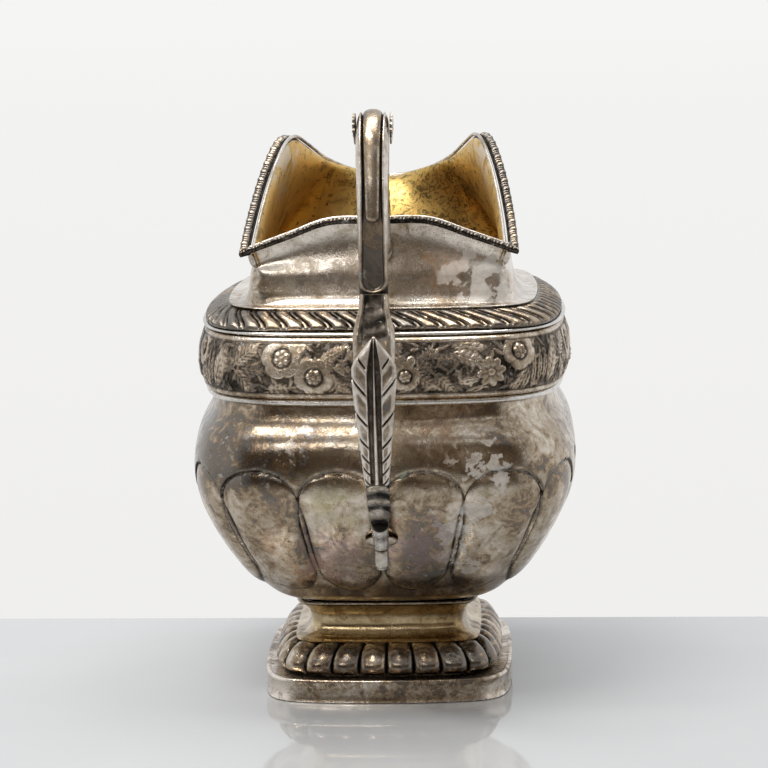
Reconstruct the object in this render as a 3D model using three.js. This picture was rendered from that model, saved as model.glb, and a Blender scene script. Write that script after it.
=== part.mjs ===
// Silver cream jug, about 1820-1840: a bowed rectangular body with lobes below, a floral band,
// gadrooned borders, a wide lip and a cast scroll handle. Nothing on it moves: it is soldered.
// Millimetres, +Z up, Z = 0 under the foot. X runs across the jug. The spout points to +Y and the
// handle to -Y, and the group is shifted along Y so that the origin is under the middle of its box.
import * as THREE from 'three';
import { mergeVertices } from 'three/addons/utils/BufferGeometryUtils.js';

// ---------------------------------------------------------------- driving dimensions
const WALL = 0.8; // thickness of the raised and rolled sheet
const SEAM = 0.35; // room left for solder between two touching pieces
const BELLY = { width: 96, length: 112 }; // widest section of the bowl
const BAND = { bottom: 78.4, top: 92.9, width: 93.6, length: 111 }; // floral band
const PLINTH = { width: 62.8, length: 75.4, height: 5.7, flange: 7 };
const STEM = { bottom: 12.5, top: 22.2 };
const BOWL_TOP = 76.2;

const BODY_LOBES = { count: 18, swell: 1.2, bottom: 28.6, cusp: 54, top: 60.4 };
const FOOT_LOBES = { count: 32, swell: 0.9 };
const SHOULDER_LOBES = { count: 62, swell: 0.7, slant: 1.0 };
const RIM_LOBES = { count: 84, swell: 0.45, slant: 0.5 };
const RIM_BORDER = { width: 2.1, thickness: 1.9 };
const RIM_WIRE = { width: 0.8, thickness: 1.0 };

const RING_STEPS = 48; // stations round a plain ring

// How a section bows: a high power squares the corners, across and along flatten its sides.
const ROUNDED = { power: 6.5, across: 2, along: 2.8 };
const BOWED = { power: 7, across: 3, along: 2.4 };
const SQUARED = { power: 9, across: 3, along: 2.4 };
const TIGHT = { power: 12, across: 4, along: 3 };
const CUSHION = { power: 8, across: 2.2, along: 3.1 };
const UPRIGHT = { power: 18, across: 5, along: 3.4 };

const SILVER = { color: 0x8f877b, roughness: 0.34, metalness: 1 };
const DARK_SILVER = { color: 0x6f675c, roughness: 0.42, metalness: 1 };
const BRIGHT_SILVER = { color: 0xb3aca0, roughness: 0.26, metalness: 1 };
const GILT_LINED = { color: 0xa78f5a, roughness: 0.3, metalness: 1 };

// ---------------------------------------------------------------- geometry helpers
const vec = (x, y, z) => new THREE.Vector3(x, y, z);
const mix = THREE.MathUtils.lerp;
const ease = THREE.MathUtils.smoothstep;

// A closed solid through rings of equal length. A tube that bites its own tail is joined up, any
// other has its two ends closed by fans. The faces are turned to point out.
function solidFromRings(rings, joined) {
  const count = rings[0].length;
  const points = rings.flat();
  const faces = [];
  const last = joined ? rings.length : rings.length - 1;
  for (let j = 0; j < last; j += 1) {
    const here = j * count;
    const next = ((j + 1) % rings.length) * count;
    for (let i = 0; i < count; i += 1) {
      const k = (i + 1) % count;
      faces.push([here + i, here + k, next + k]);
      faces.push([here + i, next + k, next + i]);
    }
  }
  if (!joined) {
    const closeEnd = (ring, start, forward) => {
      const middle = ring.reduce((sum, p) => sum.add(p), vec(0, 0, 0)).divideScalar(count);
      const hub = points.push(middle) - 1;
      for (let i = 0; i < count; i += 1) {
        const k = (i + 1) % count;
        faces.push(forward ? [hub, start + i, start + k] : [hub, start + k, start + i]);
      }
    };
    closeEnd(rings[0], 0, false);
    closeEnd(rings[rings.length - 1], (rings.length - 1) * count, true);
  }
  const volume = faces.reduce(
    (sum, [a, b, c]) => sum + points[a].dot(vec(0, 0, 0).crossVectors(points[b], points[c])),
    0,
  );
  const outward = volume > 0 ? faces : faces.map(([a, b, c]) => [a, c, b]);
  const geometry = new THREE.BufferGeometry();
  geometry.setAttribute(
    'position',
    new THREE.Float32BufferAttribute(points.flatMap((p) => [p.x, p.y, p.z]), 3),
  );
  geometry.setIndex(outward.flat());
  return geometry;
}

// Distance from the middle of a bowed rectangle to its edge, in the direction of an angle.
function edgeDistance(angle, halfWidth, halfLength, style) {
  const c = Math.cos(angle);
  const s = Math.sin(angle);
  const side = Math.hypot(c / halfWidth, s / (style.across * halfLength));
  const end = Math.hypot(s / halfLength, c / (style.along * halfWidth));
  return (side ** style.power + end ** style.power) ** (-1 / style.power);
}

function edgePoint(angle, size, style, swell = 0) {
  const distance = edgeDistance(angle, size.x, size.y, style) + swell;
  return vec(distance * Math.cos(angle), distance * Math.sin(angle), size.z);
}

function mixedStyle(first, second, t) {
  return {
    power: mix(first.power, second.power, t),
    across: mix(first.across, second.across, t),
    along: mix(first.along, second.along, t),
  };
}

// Angles of stations round a section, from the middle of the back (-Y). They are spaced by the
// edge's length, and turning adds to that length, so that tight corners get more of them.
function stationAngles(count, size, style, turning) {
  const fine = 2880;
  const at = (i) => edgePoint(-Math.PI / 2 + (i / fine) * 2 * Math.PI, size, style);
  const sums = [0];
  for (let i = 0; i < fine; i += 1) {
    const before = at(i - 1);
    const here = at(i);
    const next = at(i + 1);
    const bend = here.clone().sub(before).angleTo(next.clone().sub(here));
    sums.push(sums[i] + here.distanceTo(next) + turning * bend);
  }
  const angles = [];
  let i = 0;
  for (let k = 0; k < count; k += 1) {
    const wanted = (sums[fine] * k) / count;
    while (sums[i + 1] <= wanted) i += 1;
    const part = (wanted - sums[i]) / (sums[i + 1] - sums[i]);
    angles.push(-Math.PI / 2 + ((i + part) / fine) * 2 * Math.PI);
  }
  return angles;
}

// A smooth outline through a few [half width, half length, height] points.
function outline(points, steps) {
  const curve = new THREE.CatmullRomCurve3(points.map((p) => vec(...p)), false, 'centripetal');
  return curve.getPoints(steps);
}

// The same outline moved towards the inside of the vessel by a wall thickness. Its two ends stay
// level with the ends of the outline.
function insideOf(points, thickness) {
  return points.map((p, i) => {
    if (i === 0 || i === points.length - 1) return vec(p.x - thickness, p.y - thickness, p.z);
    const before = points[Math.max(i - 1, 0)];
    const after = points[Math.min(i + 1, points.length - 1)];
    const rise = after.z - before.z;
    const spread = after.x - before.x;
    const run = Math.hypot(rise, spread);
    const inward = (thickness * rise) / run;
    return vec(p.x - inward, p.y - inward, p.z + (thickness * spread) / run);
  });
}

function ringSolid(section, style, angles) {
  const rings = section.map((size) => angles.map((angle) => edgePoint(angle, size, style)));
  return solidFromRings(rings, true);
}

// A ring whose section is swollen outwards in lobes. The first `lobed` points of the section carry
// the swelling, fading at both ends, and slant turns a lobe by that many pitches over its height.
function gadroonSolid(section, lobed, style, lobes, stepsPerLobe) {
  const middle = section[Math.floor(lobed / 2)];
  const count = lobes.count * stepsPerLobe;
  const wrap = (t) => ((t % 1) + 1) % 1;
  const slots = stationAngles(count, middle, style, 0);
  const rings = section.map((size, j) => {
    const along = Math.min(j / (lobed - 1), 1);
    const fade = j < lobed ? Math.sin(Math.PI * along) ** 0.6 : 0;
    return slots.map((angle, i) => {
      const turn = wrap(i / stepsPerLobe - (lobes.slant ?? 0) * along);
      const crown = Math.sin(Math.PI * turn) ** 0.7;
      return edgePoint(angle, size, style, lobes.swell * crown * fade);
    });
  });
  return solidFromRings(rings, true);
}

// A bar swept along part of a curve in the YZ plane. section(t) gives its ring as points
// [across, outwards], where outwards is the side turned away from the vessel.
function sweptBar(curve, from, to, steps, section) {
  const rings = [];
  for (let k = 0; k <= steps; k += 1) {
    const t = k / steps;
    const place = curve.getPointAt(mix(from, to, t));
    const along = curve.getTangentAt(mix(from, to, t));
    const out = vec(0, along.z, -along.y);
    rings.push(section(t).map(([x, d]) => vec(x, place.y + out.y * d, place.z + out.z * d)));
  }
  return solidFromRings(rings, false);
}

// A closed oval, squared by a power, as [across, outwards] points.
function oval(halfWidth, halfDepth, power = 2, shift = 0, sides = 14) {
  const shape = (v) => Math.sign(v) * Math.abs(v) ** (2 / power);
  return Array.from({ length: sides }, (_, i) => {
    const turn = ((i + 0.5) / sides) * 2 * Math.PI;
    return [halfWidth * shape(Math.cos(turn)), shift + halfDepth * shape(Math.sin(turn))];
  });
}

// Value at t of a piecewise smooth graph through [t, value] pairs.
function graph(pairs, t) {
  const k = Math.max(1, pairs.findIndex(([at]) => at >= t));
  const [t0, v0] = pairs[k - 1];
  const [t1, v1] = pairs[k];
  return mix(v0, v1, ease(t, t0, t1));
}

const jug = new THREE.Group();

function addPiece(name, geometry, finish) {
  const mesh = new THREE.Mesh(geometry, new THREE.MeshStandardMaterial(finish));
  mesh.name = name;
  jug.add(mesh);
  return mesh;
}

const ringAngles = stationAngles(RING_STEPS, vec(40, 48, 0), SQUARED, 30);

// ---------------------------------------------------------------- foot
// Upright strip with a flat flange on top, open below.
function addPlinth() {
  const a = PLINTH.width / 2;
  const b = PLINTH.length / 2;
  const top = PLINTH.height;
  const at = (inset, z) => vec(a - inset, b - inset, z);
  const section = [
    at(0, 0),
    at(0, top - 0.3),
    at(0.3, top),
    at(PLINTH.flange, top),
    at(PLINTH.flange, top - WALL),
    at(WALL, top - WALL - 0.2),
    at(WALL, 0),
  ];
  addPiece('foot_plinth', ringSolid(section, SQUARED, ringAngles), SILVER);
}

// Hollow stamped border of large lobes that climbs from the flange to the stem.
function addFootGadroons() {
  const climb = [
    [28.3, 34.4, 6.05],
    [28.2, 34.2, 8.6],
    [26.4, 32.0, 11.6],
    [23.3, 28.3, 13.2],
  ];
  const outside = outline(climb, 4);
  const inside = [vec(23.2, 28.2, 12.2), vec(26.1, 31.7, 9), vec(26.8, 32.9, 6.05)];
  const section = [...outside, ...inside];
  addPiece('foot_gadroon_border', gadroonSolid(section, 5, SQUARED, FOOT_LOBES, 3), SILVER);
}

// Hollow pedestal, open at both ends and waisted between them.
function addStem() {
  const waist = [
    [22.0, 26.6, STEM.bottom],
    [20.3, 24.9, 14.2],
    [19.6, 24.2, 16.8],
    [20.3, 25.0, 20.0],
    [22.4, 27.2, STEM.top],
  ];
  const outside = outline(waist, 4);
  const section = [...outside, ...insideOf(outside, WALL).reverse()];
  addPiece('foot_stem', ringSolid(section, TIGHT, ringAngles), GILT_LINED);
}

// A wire of flattened section laid in a joint.
function addWire(name, halfWidth, halfLength, bottom, top, depth, style) {
  const middle = (bottom + top) / 2;
  const at = (inset, z) => vec(halfWidth - inset, halfLength - inset, z);
  const section = [at(0, middle), at(depth * 0.4, top), at(depth, middle), at(depth * 0.4, bottom)];
  addPiece(name, ringSolid(section, style, ringAngles), SILVER);
}

// ---------------------------------------------------------------- body
const BOWL_OUTLINE = [
  [22.6, 27.4, 23.6],
  [28.0, 33.8, 25.2],
  [33.7, 40.4, 28.8],
  [39.2, 46.6, 36],
  [43.9, 51.7, 44],
  [47.0, 54.9, 51.5],
  [BELLY.width / 2, BELLY.length / 2, 58.5],
  [46.6, 54.7, 67.5],
  [44.0, 52.1, 72.6],
  [43.2, 51.4, BOWL_TOP],
];

// How far the wall of the bowl is drawn in at a height, at a place across one lobe (0 to 1), to
// part the lobes. The top of a lobe is an arch: high over its middle and low where two meet.
function lobeSwell(across, z) {
  const lobes = BODY_LOBES;
  const arch = Math.sqrt(Math.max(0, 1 - (2 * across - 1) ** 2));
  const top = mix(lobes.cusp, lobes.top, arch);
  const fade = ease(z, lobes.bottom - 2, lobes.bottom + 6) * (1 - ease(z, top - 3, top + 0.5));
  return lobes.swell * fade * (arch - 1);
}

function addBowl() {
  const outside = outline(BOWL_OUTLINE, 12);
  const inside = insideOf(outside, WALL);
  inside[0].z += WALL;
  const stepsPerLobe = 4;
  const angles = stationAngles(BODY_LOBES.count * stepsPerLobe, outside[8], BOWED, 0);
  const ring = (size, height, share) => {
    const style = mixedStyle(BOWED, ROUNDED, ease(height, 62, 74));
    return angles.map((angle, i) => {
      const across = (i % stepsPerLobe) / stepsPerLobe;
      return edgePoint(angle, size, style, share * lobeSwell(across, height));
    });
  };
  const outer = outside.map((size) => ring(size, size.z, 1));
  const inner = inside.map((size, j) => ring(size, outside[j].z, 0.9)).filter((_, j) => j % 2 === 0);
  addPiece('bowl', solidFromRings([...outer, ...inner.reverse()], false), SILVER);
}

// Die-rolled strip, bulging outwards, with its two edges turned in to take the solder.
function addFriezeBand() {
  const a = BAND.width / 2;
  const b = BAND.length / 2;
  const lip = 3;
  const bulge = [
    [1.4, BAND.bottom],
    [0.2, 82],
    [0, 85.6],
    [0.5, 89],
    [1.8, BAND.top],
  ].map(([inset, z]) => [a - inset, b - inset, z]);
  const outside = outline(bulge, 4);
  const back = insideOf(outside, WALL).reverse();
  const turnedIn = (edge, z) => vec(edge.x - lip, edge.y - lip, z);
  const first = outside[0];
  const top = outside[outside.length - 1];
  const section = [
    ...outside,
    turnedIn(top, BAND.top),
    turnedIn(top, BAND.top - WALL),
    ...back.slice(1, -1),
    turnedIn(first, BAND.bottom + WALL),
    turnedIn(first, BAND.bottom),
  ];
  addPiece('frieze_band', ringSolid(section, ROUNDED, ringAngles), DARK_SILVER);
}

// Rope-like border of slanted gadroons on the sloping shoulder.
function addShoulderGadroons() {
  const slope = [
    [44.6, 51.1, 94.5],
    [44.0, 50.5, 95.6],
    [41.6, 48.3, 97.5],
    [38.8, 45.7, 98.6],
  ];
  const section = [...outline(slope, 4), vec(38.7, 45.6, 98.0), vec(43.2, 49.7, 94.9)];
  const border = gadroonSolid(section, 5, CUSHION, SHOULDER_LOBES, 2);
  addPiece('shoulder_gadroon_border', border, SILVER);
}

// ---------------------------------------------------------------- neck, lip and rim
// Outer edge of the rim from the middle of the back to the tip of the spout, on the +X side. It
// dips to a pointed corner behind, climbs to an ear at the side and falls to the spout.
const RIM_BACK = [[0, -42.6, 120], [12, -42.5, 119.8], [22, -42.1, 116.4], [33.7, -41.2, 112.2]];
const RIM_FRONT = [
  [33.7, -41.2, 112.2],
  [32.8, -25, 119.6],
  [30.8, -8, 128.8],
  [28.2, 6, 135.6],
  [26.4, 15, 136.6],
  [23.6, 27, 133.7],
  [19.7, 38, 129.6],
  [13.6, 49, 126.0],
  [7.0, 56.4, 124.0],
  [0, 59, 123.3],
];
const BACK_SHARE = 0.25; // part of the stations that lies behind the pointed corner

const rimBackCurve = new THREE.CatmullRomCurve3(RIM_BACK.map((p) => vec(...p)), false, 'centripetal');
const rimFrontCurve = new THREE.CatmullRomCurve3(RIM_FRONT.map((p) => vec(...p)), false, 'centripetal');

// Place on the rim at s, which runs from 0 behind, through 1 at the spout, to 2 behind again.
function rimPoint(s) {
  const half = s <= 1 ? s : 2 - s;
  const point =
    half < BACK_SHARE
      ? rimBackCurve.getPointAt(half / BACK_SHARE)
      : rimFrontCurve.getPointAt((half - BACK_SHARE) / (1 - BACK_SHARE));
  if (s > 1) point.x = -point.x;
  return point;
}

// Directions on the rim at s: out, level and square to the edge, and up, square to both. At the
// pointed corner out is longer, so that the pieces beside the edge meet in a mitre.
function rimFrame(s) {
  const step = 0.01;
  const here = rimPoint(s);
  const arriving = here.clone().sub(rimPoint((s - step + 2) % 2)).normalize();
  const leaving = rimPoint((s + step) % 2).sub(here).normalize();
  const along = arriving.clone().add(leaving).normalize();
  const out = vec(along.y, -along.x, 0).normalize();
  const up = vec(0, 0, 0).crossVectors(out, along).normalize();
  const mitre = Math.min(1 / along.dot(arriving), 1.6);
  return { out: out.multiplyScalar(mitre), up: up.z < 0 ? up.negate() : up };
}

function onRim(s, out, up) {
  const frame = rimFrame(s);
  return rimPoint(s).addScaledVector(frame.out, out).addScaledVector(frame.up, up);
}

// Angle round the neck that belongs to s: corners of the neck meet the corners of the rim.
const NECK_ANGLES = [[0, -90], [BACK_SHARE, -51], [0.56, 4], [0.8, 51], [1, 90]];

function neckAngle(s) {
  const half = s <= 1 ? s : 2 - s;
  const k = Math.max(1, NECK_ANGLES.findIndex(([at]) => at >= half));
  const [s0, a0] = NECK_ANGLES[k - 1];
  const [s1, a1] = NECK_ANGLES[k];
  const degrees = mix(a0, a1, (half - s0) / (s1 - s0));
  return THREE.MathUtils.degToRad(s <= 1 ? degrees : 180 - degrees);
}

// The raised neck: shoulder, flat flange, upright wall and a lip that flares to the rim and, at
// the spout, rolls over. Each station is a curve from the upright wall to the edge of the rim.
const NECK_FOOT = [
  [42.6, 49.0, 93.3],
  [42.1, 48.6, 94.6],
  [38.1, 45.0, 97.9],
  [36.4, 43.6, 98.7],
  [34.2, 41.7, 99.8],
  [32.9, 40.8, 102.6],
];

// The corners tighten from the shoulder to the upright wall of the neck.
function shoulderStyle(z) {
  return mixedStyle(CUSHION, UPRIGHT, ease(z, 98, 103));
}

function lipCurve(s, inset) {
  const start = edgePoint(neckAngle(s), vec(32.3 - inset, 40.3 - inset, 105.5), UPRIGHT);
  const end = onRim(s, -RIM_BORDER.width - SEAM - inset * 0.8, inset * 0.1 - 0.75);
  const spout = ease(1 - Math.abs(s - 1), 0.66, 0.9);
  const { out } = rimFrame(s);
  const reach = mix(2.5, 10, spout);
  const drop = mix(-5, 4.8, spout);
  const nearEnd = end.clone().addScaledVector(out, -reach).add(vec(0, 0, drop));
  const rise = mix(4, 8, spout);
  return new THREE.CubicBezierCurve3(start, start.clone().add(vec(0, 0, rise)), nearEnd, end);
}

const LIP_STATIONS = 56;
const rimStations = (count) => Array.from({ length: count }, (_, i) => (2 * i) / count);

function addNeck() {
  const lipSteps = 5;
  const stations = rimStations(LIP_STATIONS);
  const foot = NECK_FOOT.map((p) => vec(...p));
  const wall = (inset) => {
    const curves = stations.map((s) => lipCurve(s, inset));
    return Array.from({ length: lipSteps + 1 }, (_, k) => curves.map((c) => c.getPoint(k / lipSteps)));
  };
  const base = (sizes) =>
    sizes.map((size) => stations.map((s) => edgePoint(neckAngle(s), size, shoulderStyle(size.z))));
  const inner = insideOf(foot, WALL).filter((_, i) => i !== 3);
  inner[0].z = foot[0].z;
  const rings = [...base(foot), ...wall(0), ...wall(WALL).reverse(), ...base(inner).reverse()];
  addPiece('neck', solidFromRings(rings, true), GILT_LINED);
}

// Gadrooned border round the edge of the lip, and the plain wire that finishes it inside.
function addRimBorder() {
  const perLobe = 2;
  const stations = rimStations(RIM_LOBES.count * perLobe);
  const wide = RIM_BORDER.width;
  const half = RIM_BORDER.thickness / 2;
  const section = [
    [-wide, -half * 0.7],
    [-wide, half * 0.5],
    [-wide * 0.45, half],
    [0, 0.1],
    [-0.3, -half],
  ];
  const lobed = [0, 0.3, 1, 1, 0];
  const rings = section.map(([out, up], j) =>
    stations.map((s, i) => {
      const crown = Math.sin((Math.PI * (i % perLobe)) / perLobe) * RIM_LOBES.swell * lobed[j];
      return onRim(s, out + crown * 0.6 - 0.3 * lobed[j], up + crown * 0.8);
    }),
  );
  addPiece('rim_gadroon_border', solidFromRings(rings, true), SILVER);
}

function addRimWire() {
  const stations = rimStations(LIP_STATIONS);
  const out = -RIM_BORDER.width - SEAM * 1.4;
  const { width, thickness } = RIM_WIRE;
  const section = [[out, 0], [out, thickness * 0.8], [out - width * 0.5, thickness], [out - width, 0]];
  const lift = -0.2;
  const rings = section.map(([x, z]) => stations.map((s) => onRim(s, x, z + lift)));
  addPiece('rim_inner_wire', solidFromRings(rings, true), BRIGHT_SILVER);
}

// ---------------------------------------------------------------- handle
// Middle line of the casting: up from the neck, over, down past the tongue, out to the leaf and
// in to the bowl.
const HANDLE_LINE = new THREE.CatmullRomCurve3(
  [
    [-42.2, 113.4],
    [-45.4, 114.2],
    [-47.8, 118.2],
    [-49.9, 127],
    [-53.6, 136.6],
    [-59.6, 142.6],
    [-65.6, 144.0],
    [-71.2, 140.6],
    [-73.8, 132],
    [-74.8, 122],
    [-75.2, 112],
    [-76.0, 105],
    [-78.6, 98.5],
    [-80.2, 92],
    [-79.6, 84],
    [-76.8, 74],
    [-73.2, 65],
    [-69.4, 59],
    [-64.8, 53.4],
    [-60.2, 48.6],
    [-56.7, 45],
    [-54.5, 41.2],
    [-53.0, 36.8],
  ].map(([y, z]) => vec(0, y, z)),
  false,
  'centripetal',
);

// Share of the line's length at which its outer, falling stretch passes a height.
function shareAt(height) {
  let high = 0.3;
  let low = 1;
  for (let i = 0; i < 30; i += 1) {
    const middle = (high + low) / 2;
    if (HANDLE_LINE.getPointAt(middle).z > height) high = middle;
    else low = middle;
  }
  return low;
}

// Heights on the middle line where one piece of the handle gives way to the next.
const HANDLE = { ribEnd: 122.4, joint: 106, leafTip: 96.2, collar: 61.2, tail: 49 };
const SEAM_SHARE = SEAM / HANDLE_LINE.getLength();
const UPPER_END = shareAt(HANDLE.joint);
const RIB_START = 0.44 * UPPER_END; // just before the top of the loop

const UPPER_WIDTH = [[0, 3.6], [0.2, 3.1], [0.5, 3.8], [0.72, 3.75], [0.8, 3.9], [0.97, 3.4], [1, 2.8]];
const UPPER_DEPTH = [[0, 2.4], [0.2, 2.8], [0.45, 2.9], [0.62, 3.1], [0.8, 3.4], [0.97, 3.0], [1, 2.4]];
const CHANNEL = [[0, 0], [0.38, 0], [0.43, 1.1], [0.95, 1.1], [1, 0.2]];

// Bar with a channel sunk in its outer face, which starts just before the top of the loop.
function addUpperScroll() {
  const section = (t) => {
    const w = graph(UPPER_WIDTH, t);
    const d = graph(UPPER_DEPTH, t);
    const floor = d - graph(CHANNEL, t);
    const half = [
      [w * 0.6, floor],
      [w * 0.72, d],
      [w * 0.88, d],
      [w, d * 0.55],
      [w, -d * 0.5],
      [w * 0.6, -d],
    ];
    return [...half, ...half.map(([x, y]) => [-x, y]).reverse()];
  };
  addPiece('handle_upper_scroll', sweptBar(HANDLE_LINE, 0, UPPER_END, 24, section), SILVER);
}

// Half-round strap in the channel, from the top of the loop down to a rounded tongue.
function addRib() {
  const from = RIB_START;
  const to = shareAt(HANDLE.ribEnd);
  const section = (t) => {
    const onUpper = mix(from, to, t) / UPPER_END;
    const floor = graph(UPPER_DEPTH, onUpper) - graph(CHANNEL, onUpper) + SEAM;
    const end = Math.sqrt(Math.max(0.05, 1 - Math.max(0, (t - 0.92) / 0.08) ** 2));
    const half = mix(2.1, 1.4, t) * end;
    const crown = Array.from({ length: 6 }, (_, i) => {
      const turn = (i / 5) * Math.PI;
      return [half * Math.cos(turn), floor + 0.2 + 1.3 * end * Math.sin(turn)];
    });
    return [[half, floor], ...crown, [-half, floor]];
  };
  addPiece('handle_rib', sweptBar(HANDLE_LINE, from, to, 12, section), BRIGHT_SILVER);
}

// Small scalloped shell soldered on each flank of the handle's crown.
function addShell(name, side) {
  const scallops = 7;
  const reach = 4.2;
  const thickness = 0.6;
  const shape = new THREE.Shape();
  shape.moveTo(0, -1.4);
  for (let k = 0; k <= scallops * 4; k += 1) {
    const turn = mix(-0.3, Math.PI + 0.3, k / (scallops * 4));
    const tooth = 0.45 * Math.abs(Math.sin((k / 4) * Math.PI));
    shape.lineTo((reach + tooth) * Math.cos(turn), (reach + tooth) * Math.sin(turn));
  }
  shape.closePath();
  const plate = new THREE.ExtrudeGeometry(shape, { depth: thickness, bevelEnabled: false });
  const mesh = addPiece(name, weld(plate), DARK_SILVER);
  mesh.setRotationFromMatrix(
    new THREE.Matrix4().makeBasis(vec(0, side, 0), vec(0, 0, 1), vec(side, 0, 0)),
  );
  mesh.position.set(side * (3.8 + SEAM), -65.6, 142.2);
}

function weld(geometry) {
  geometry.deleteAttribute('normal');
  geometry.deleteAttribute('uv');
  return mergeVertices(geometry, 1e-4);
}

// Bar behind the leaf, widening below the joint and tapering to the collar.
const LOWER_WIDTH = [[0, 2.8], [0.04, 3.2], [0.18, 4.7], [0.34, 4.9], [0.6, 4.1], [0.85, 3.1], [1, 2.7]];

function addLowerScroll() {
  const from = UPPER_END + SEAM_SHARE;
  const to = shareAt(HANDLE.collar);
  const section = (t) => oval(graph(LOWER_WIDTH, t), 2.4, 2.6, -0.5, 12);
  addPiece('handle_lower_scroll', sweptBar(HANDLE_LINE, from, to, 18, section), SILVER);
}

// Long pointed leaf on the outer face, with a raised midrib between two grooves.
function addLeaf() {
  const width = [[0, 0.5], [0.14, 4.3], [0.2, 5.1], [0.45, 4.5], [0.75, 3.6], [1, 2.8]];
  const section = (t) => {
    const half = graph(width, t);
    const foot = 1.95 + SEAM;
    const side = 1.5;
    const profile = [
      [1, foot + 0.1],
      [0.94, foot + side * 0.6],
      [0.55, foot + side],
      [0.3, foot + side * 0.6],
      [0.12, foot + side * 1.2],
    ].map(([x, y]) => [x * half, y]);
    return [...profile, ...profile.map(([x, y]) => [-x, y]).reverse()];
  };
  const bar = sweptBar(HANDLE_LINE, shareAt(HANDLE.leafTip), shareAt(HANDLE.collar), 16, section);
  addPiece('handle_leaf', bar, SILVER);
}

// Turned collar: three rings over a small cup, in line with the handle.
function addCollar() {
  const low = HANDLE_LINE.getPointAt(shareAt(HANDLE.tail));
  const top = HANDLE_LINE.getPointAt(shareAt(HANDLE.collar) + SEAM_SHARE);
  const high = top.distanceTo(low);
  const ring = (share, radius) => [
    [radius - 0.4, share - 0.08],
    [radius, share],
    [radius - 0.4, share + 0.08],
  ];
  const shape = [
    [0, 0],
    [2.0, 0],
    [2.3, 0.12],
    [2.8, 0.26],
    ...ring(0.44, 2.9),
    ...ring(0.66, 2.95),
    ...ring(0.88, 2.95),
    [0, 1],
  ];
  const points = shape.map(([radius, share]) => new THREE.Vector2(radius, share * high));
  const mesh = addPiece('handle_collar', weld(new THREE.LatheGeometry(points, 14)), DARK_SILVER);
  mesh.quaternion.setFromUnitVectors(vec(0, 1, 0), top.sub(low).normalize());
  mesh.position.copy(low);
}

// Plain round tail with a groove and a drop at its end.
function addTail() {
  const radius = [[0, 2.0], [0.5, 1.85], [0.55, 1.35], [0.6, 1.7], [0.85, 1.7], [1, 1.0]];
  const section = (t) => oval(graph(radius, t), graph(radius, t), 2, 0, 10);
  const from = shareAt(HANDLE.tail) + SEAM_SHARE;
  addPiece('handle_tail', sweptBar(HANDLE_LINE, from, 1, 14, section), BRIGHT_SILVER);
}

// Pads that spread the two ends of the handle over the neck and the bowl. lean(z) is the place of
// the pad's inner face along Y.
function addPad(name, halfWidth, halfHeight, middle, lean, thickness) {
  const edge = oval(halfWidth, halfHeight, 2.3, middle, 14);
  const layer = (lift) => edge.map(([x, z]) => vec(x, lean(z) - lift, z));
  addPiece(name, solidFromRings([layer(0), layer(thickness)], false), SILVER);
}

addPlinth();
addFootGadroons();
addStem();
addWire('stem_joint_wire', 23.3, 28.2, 22.5, 23.25, 1.6, TIGHT);
addBowl();
addWire('band_lower_wire', 45.1, 53.3, 76.5, 78.1, 2.6, ROUNDED);
addFriezeBand();
addWire('band_upper_wire', 45.7, 53.2, 93.2, 94.15, 1.8, ROUNDED);
addShoulderGadroons();
addNeck();
addRimBorder();
addRimWire();
addUpperScroll();
addRib();
addShell('handle_shell_left', -1);
addShell('handle_shell_right', 1);
addLowerScroll();
addLeaf();
addCollar();
addTail();
addPad('handle_upper_pad', 3.3, 3.6, 112.8, () => -40.3, 0.9);
addPad('handle_lower_pad', 3.9, 1.4, 43.6, (z) => -51.9 - (z - 43.6) * 0.6, 0.7);

jug.updateMatrixWorld(true);
const box = new THREE.Box3().setFromObject(jug);
jug.position.y = -(box.min.y + box.max.y) / 2;

export default jug;
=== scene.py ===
"""The looks of a silver cream jug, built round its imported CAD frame.

Shapes are worked out in millimetres in the jug's own frame: X across, the handle at -Y, the spout
at +Y and the body's axis at X = Y = 0. solid() turns them into metres in the row frame.
"""
import math

import bpy
import numpy as np
from mathutils import Matrix, Vector


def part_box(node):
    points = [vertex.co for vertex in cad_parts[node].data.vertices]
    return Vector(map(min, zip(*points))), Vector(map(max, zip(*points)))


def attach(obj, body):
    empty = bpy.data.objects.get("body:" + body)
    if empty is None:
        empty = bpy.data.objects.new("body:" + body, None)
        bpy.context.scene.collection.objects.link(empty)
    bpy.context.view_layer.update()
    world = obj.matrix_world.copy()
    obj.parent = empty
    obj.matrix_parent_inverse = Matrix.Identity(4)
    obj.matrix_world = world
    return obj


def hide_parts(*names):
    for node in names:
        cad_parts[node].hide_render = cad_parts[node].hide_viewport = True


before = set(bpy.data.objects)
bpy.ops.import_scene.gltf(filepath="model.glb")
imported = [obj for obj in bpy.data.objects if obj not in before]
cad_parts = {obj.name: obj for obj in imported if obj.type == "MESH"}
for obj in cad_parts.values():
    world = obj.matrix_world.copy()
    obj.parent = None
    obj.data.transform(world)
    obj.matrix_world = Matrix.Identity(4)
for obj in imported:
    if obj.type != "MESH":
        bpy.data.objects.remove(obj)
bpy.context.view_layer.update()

# ------------------------------------------------------------------ driving dimensions, in mm
MM = 0.001
foot_low, foot_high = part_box("foot_plinth")
AXIS = np.array([0.0, (foot_low.y + foot_high.y) / 2 / MM, foot_low.z / MM])


def size_of(node):
    """Half width, half length and the lowest and highest Z of a ring-shaped CAD node."""
    low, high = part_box(node)
    return (high.x - low.x) / 2 / MM, (high.y - low.y) / 2 / MM, low.z / MM, high.z / MM


# Thickness of the raised and rolled sheet.
WALL = 0.8
# Chance in the floral band, the same on each run.
RNG = np.random.default_rng(7)

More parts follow.
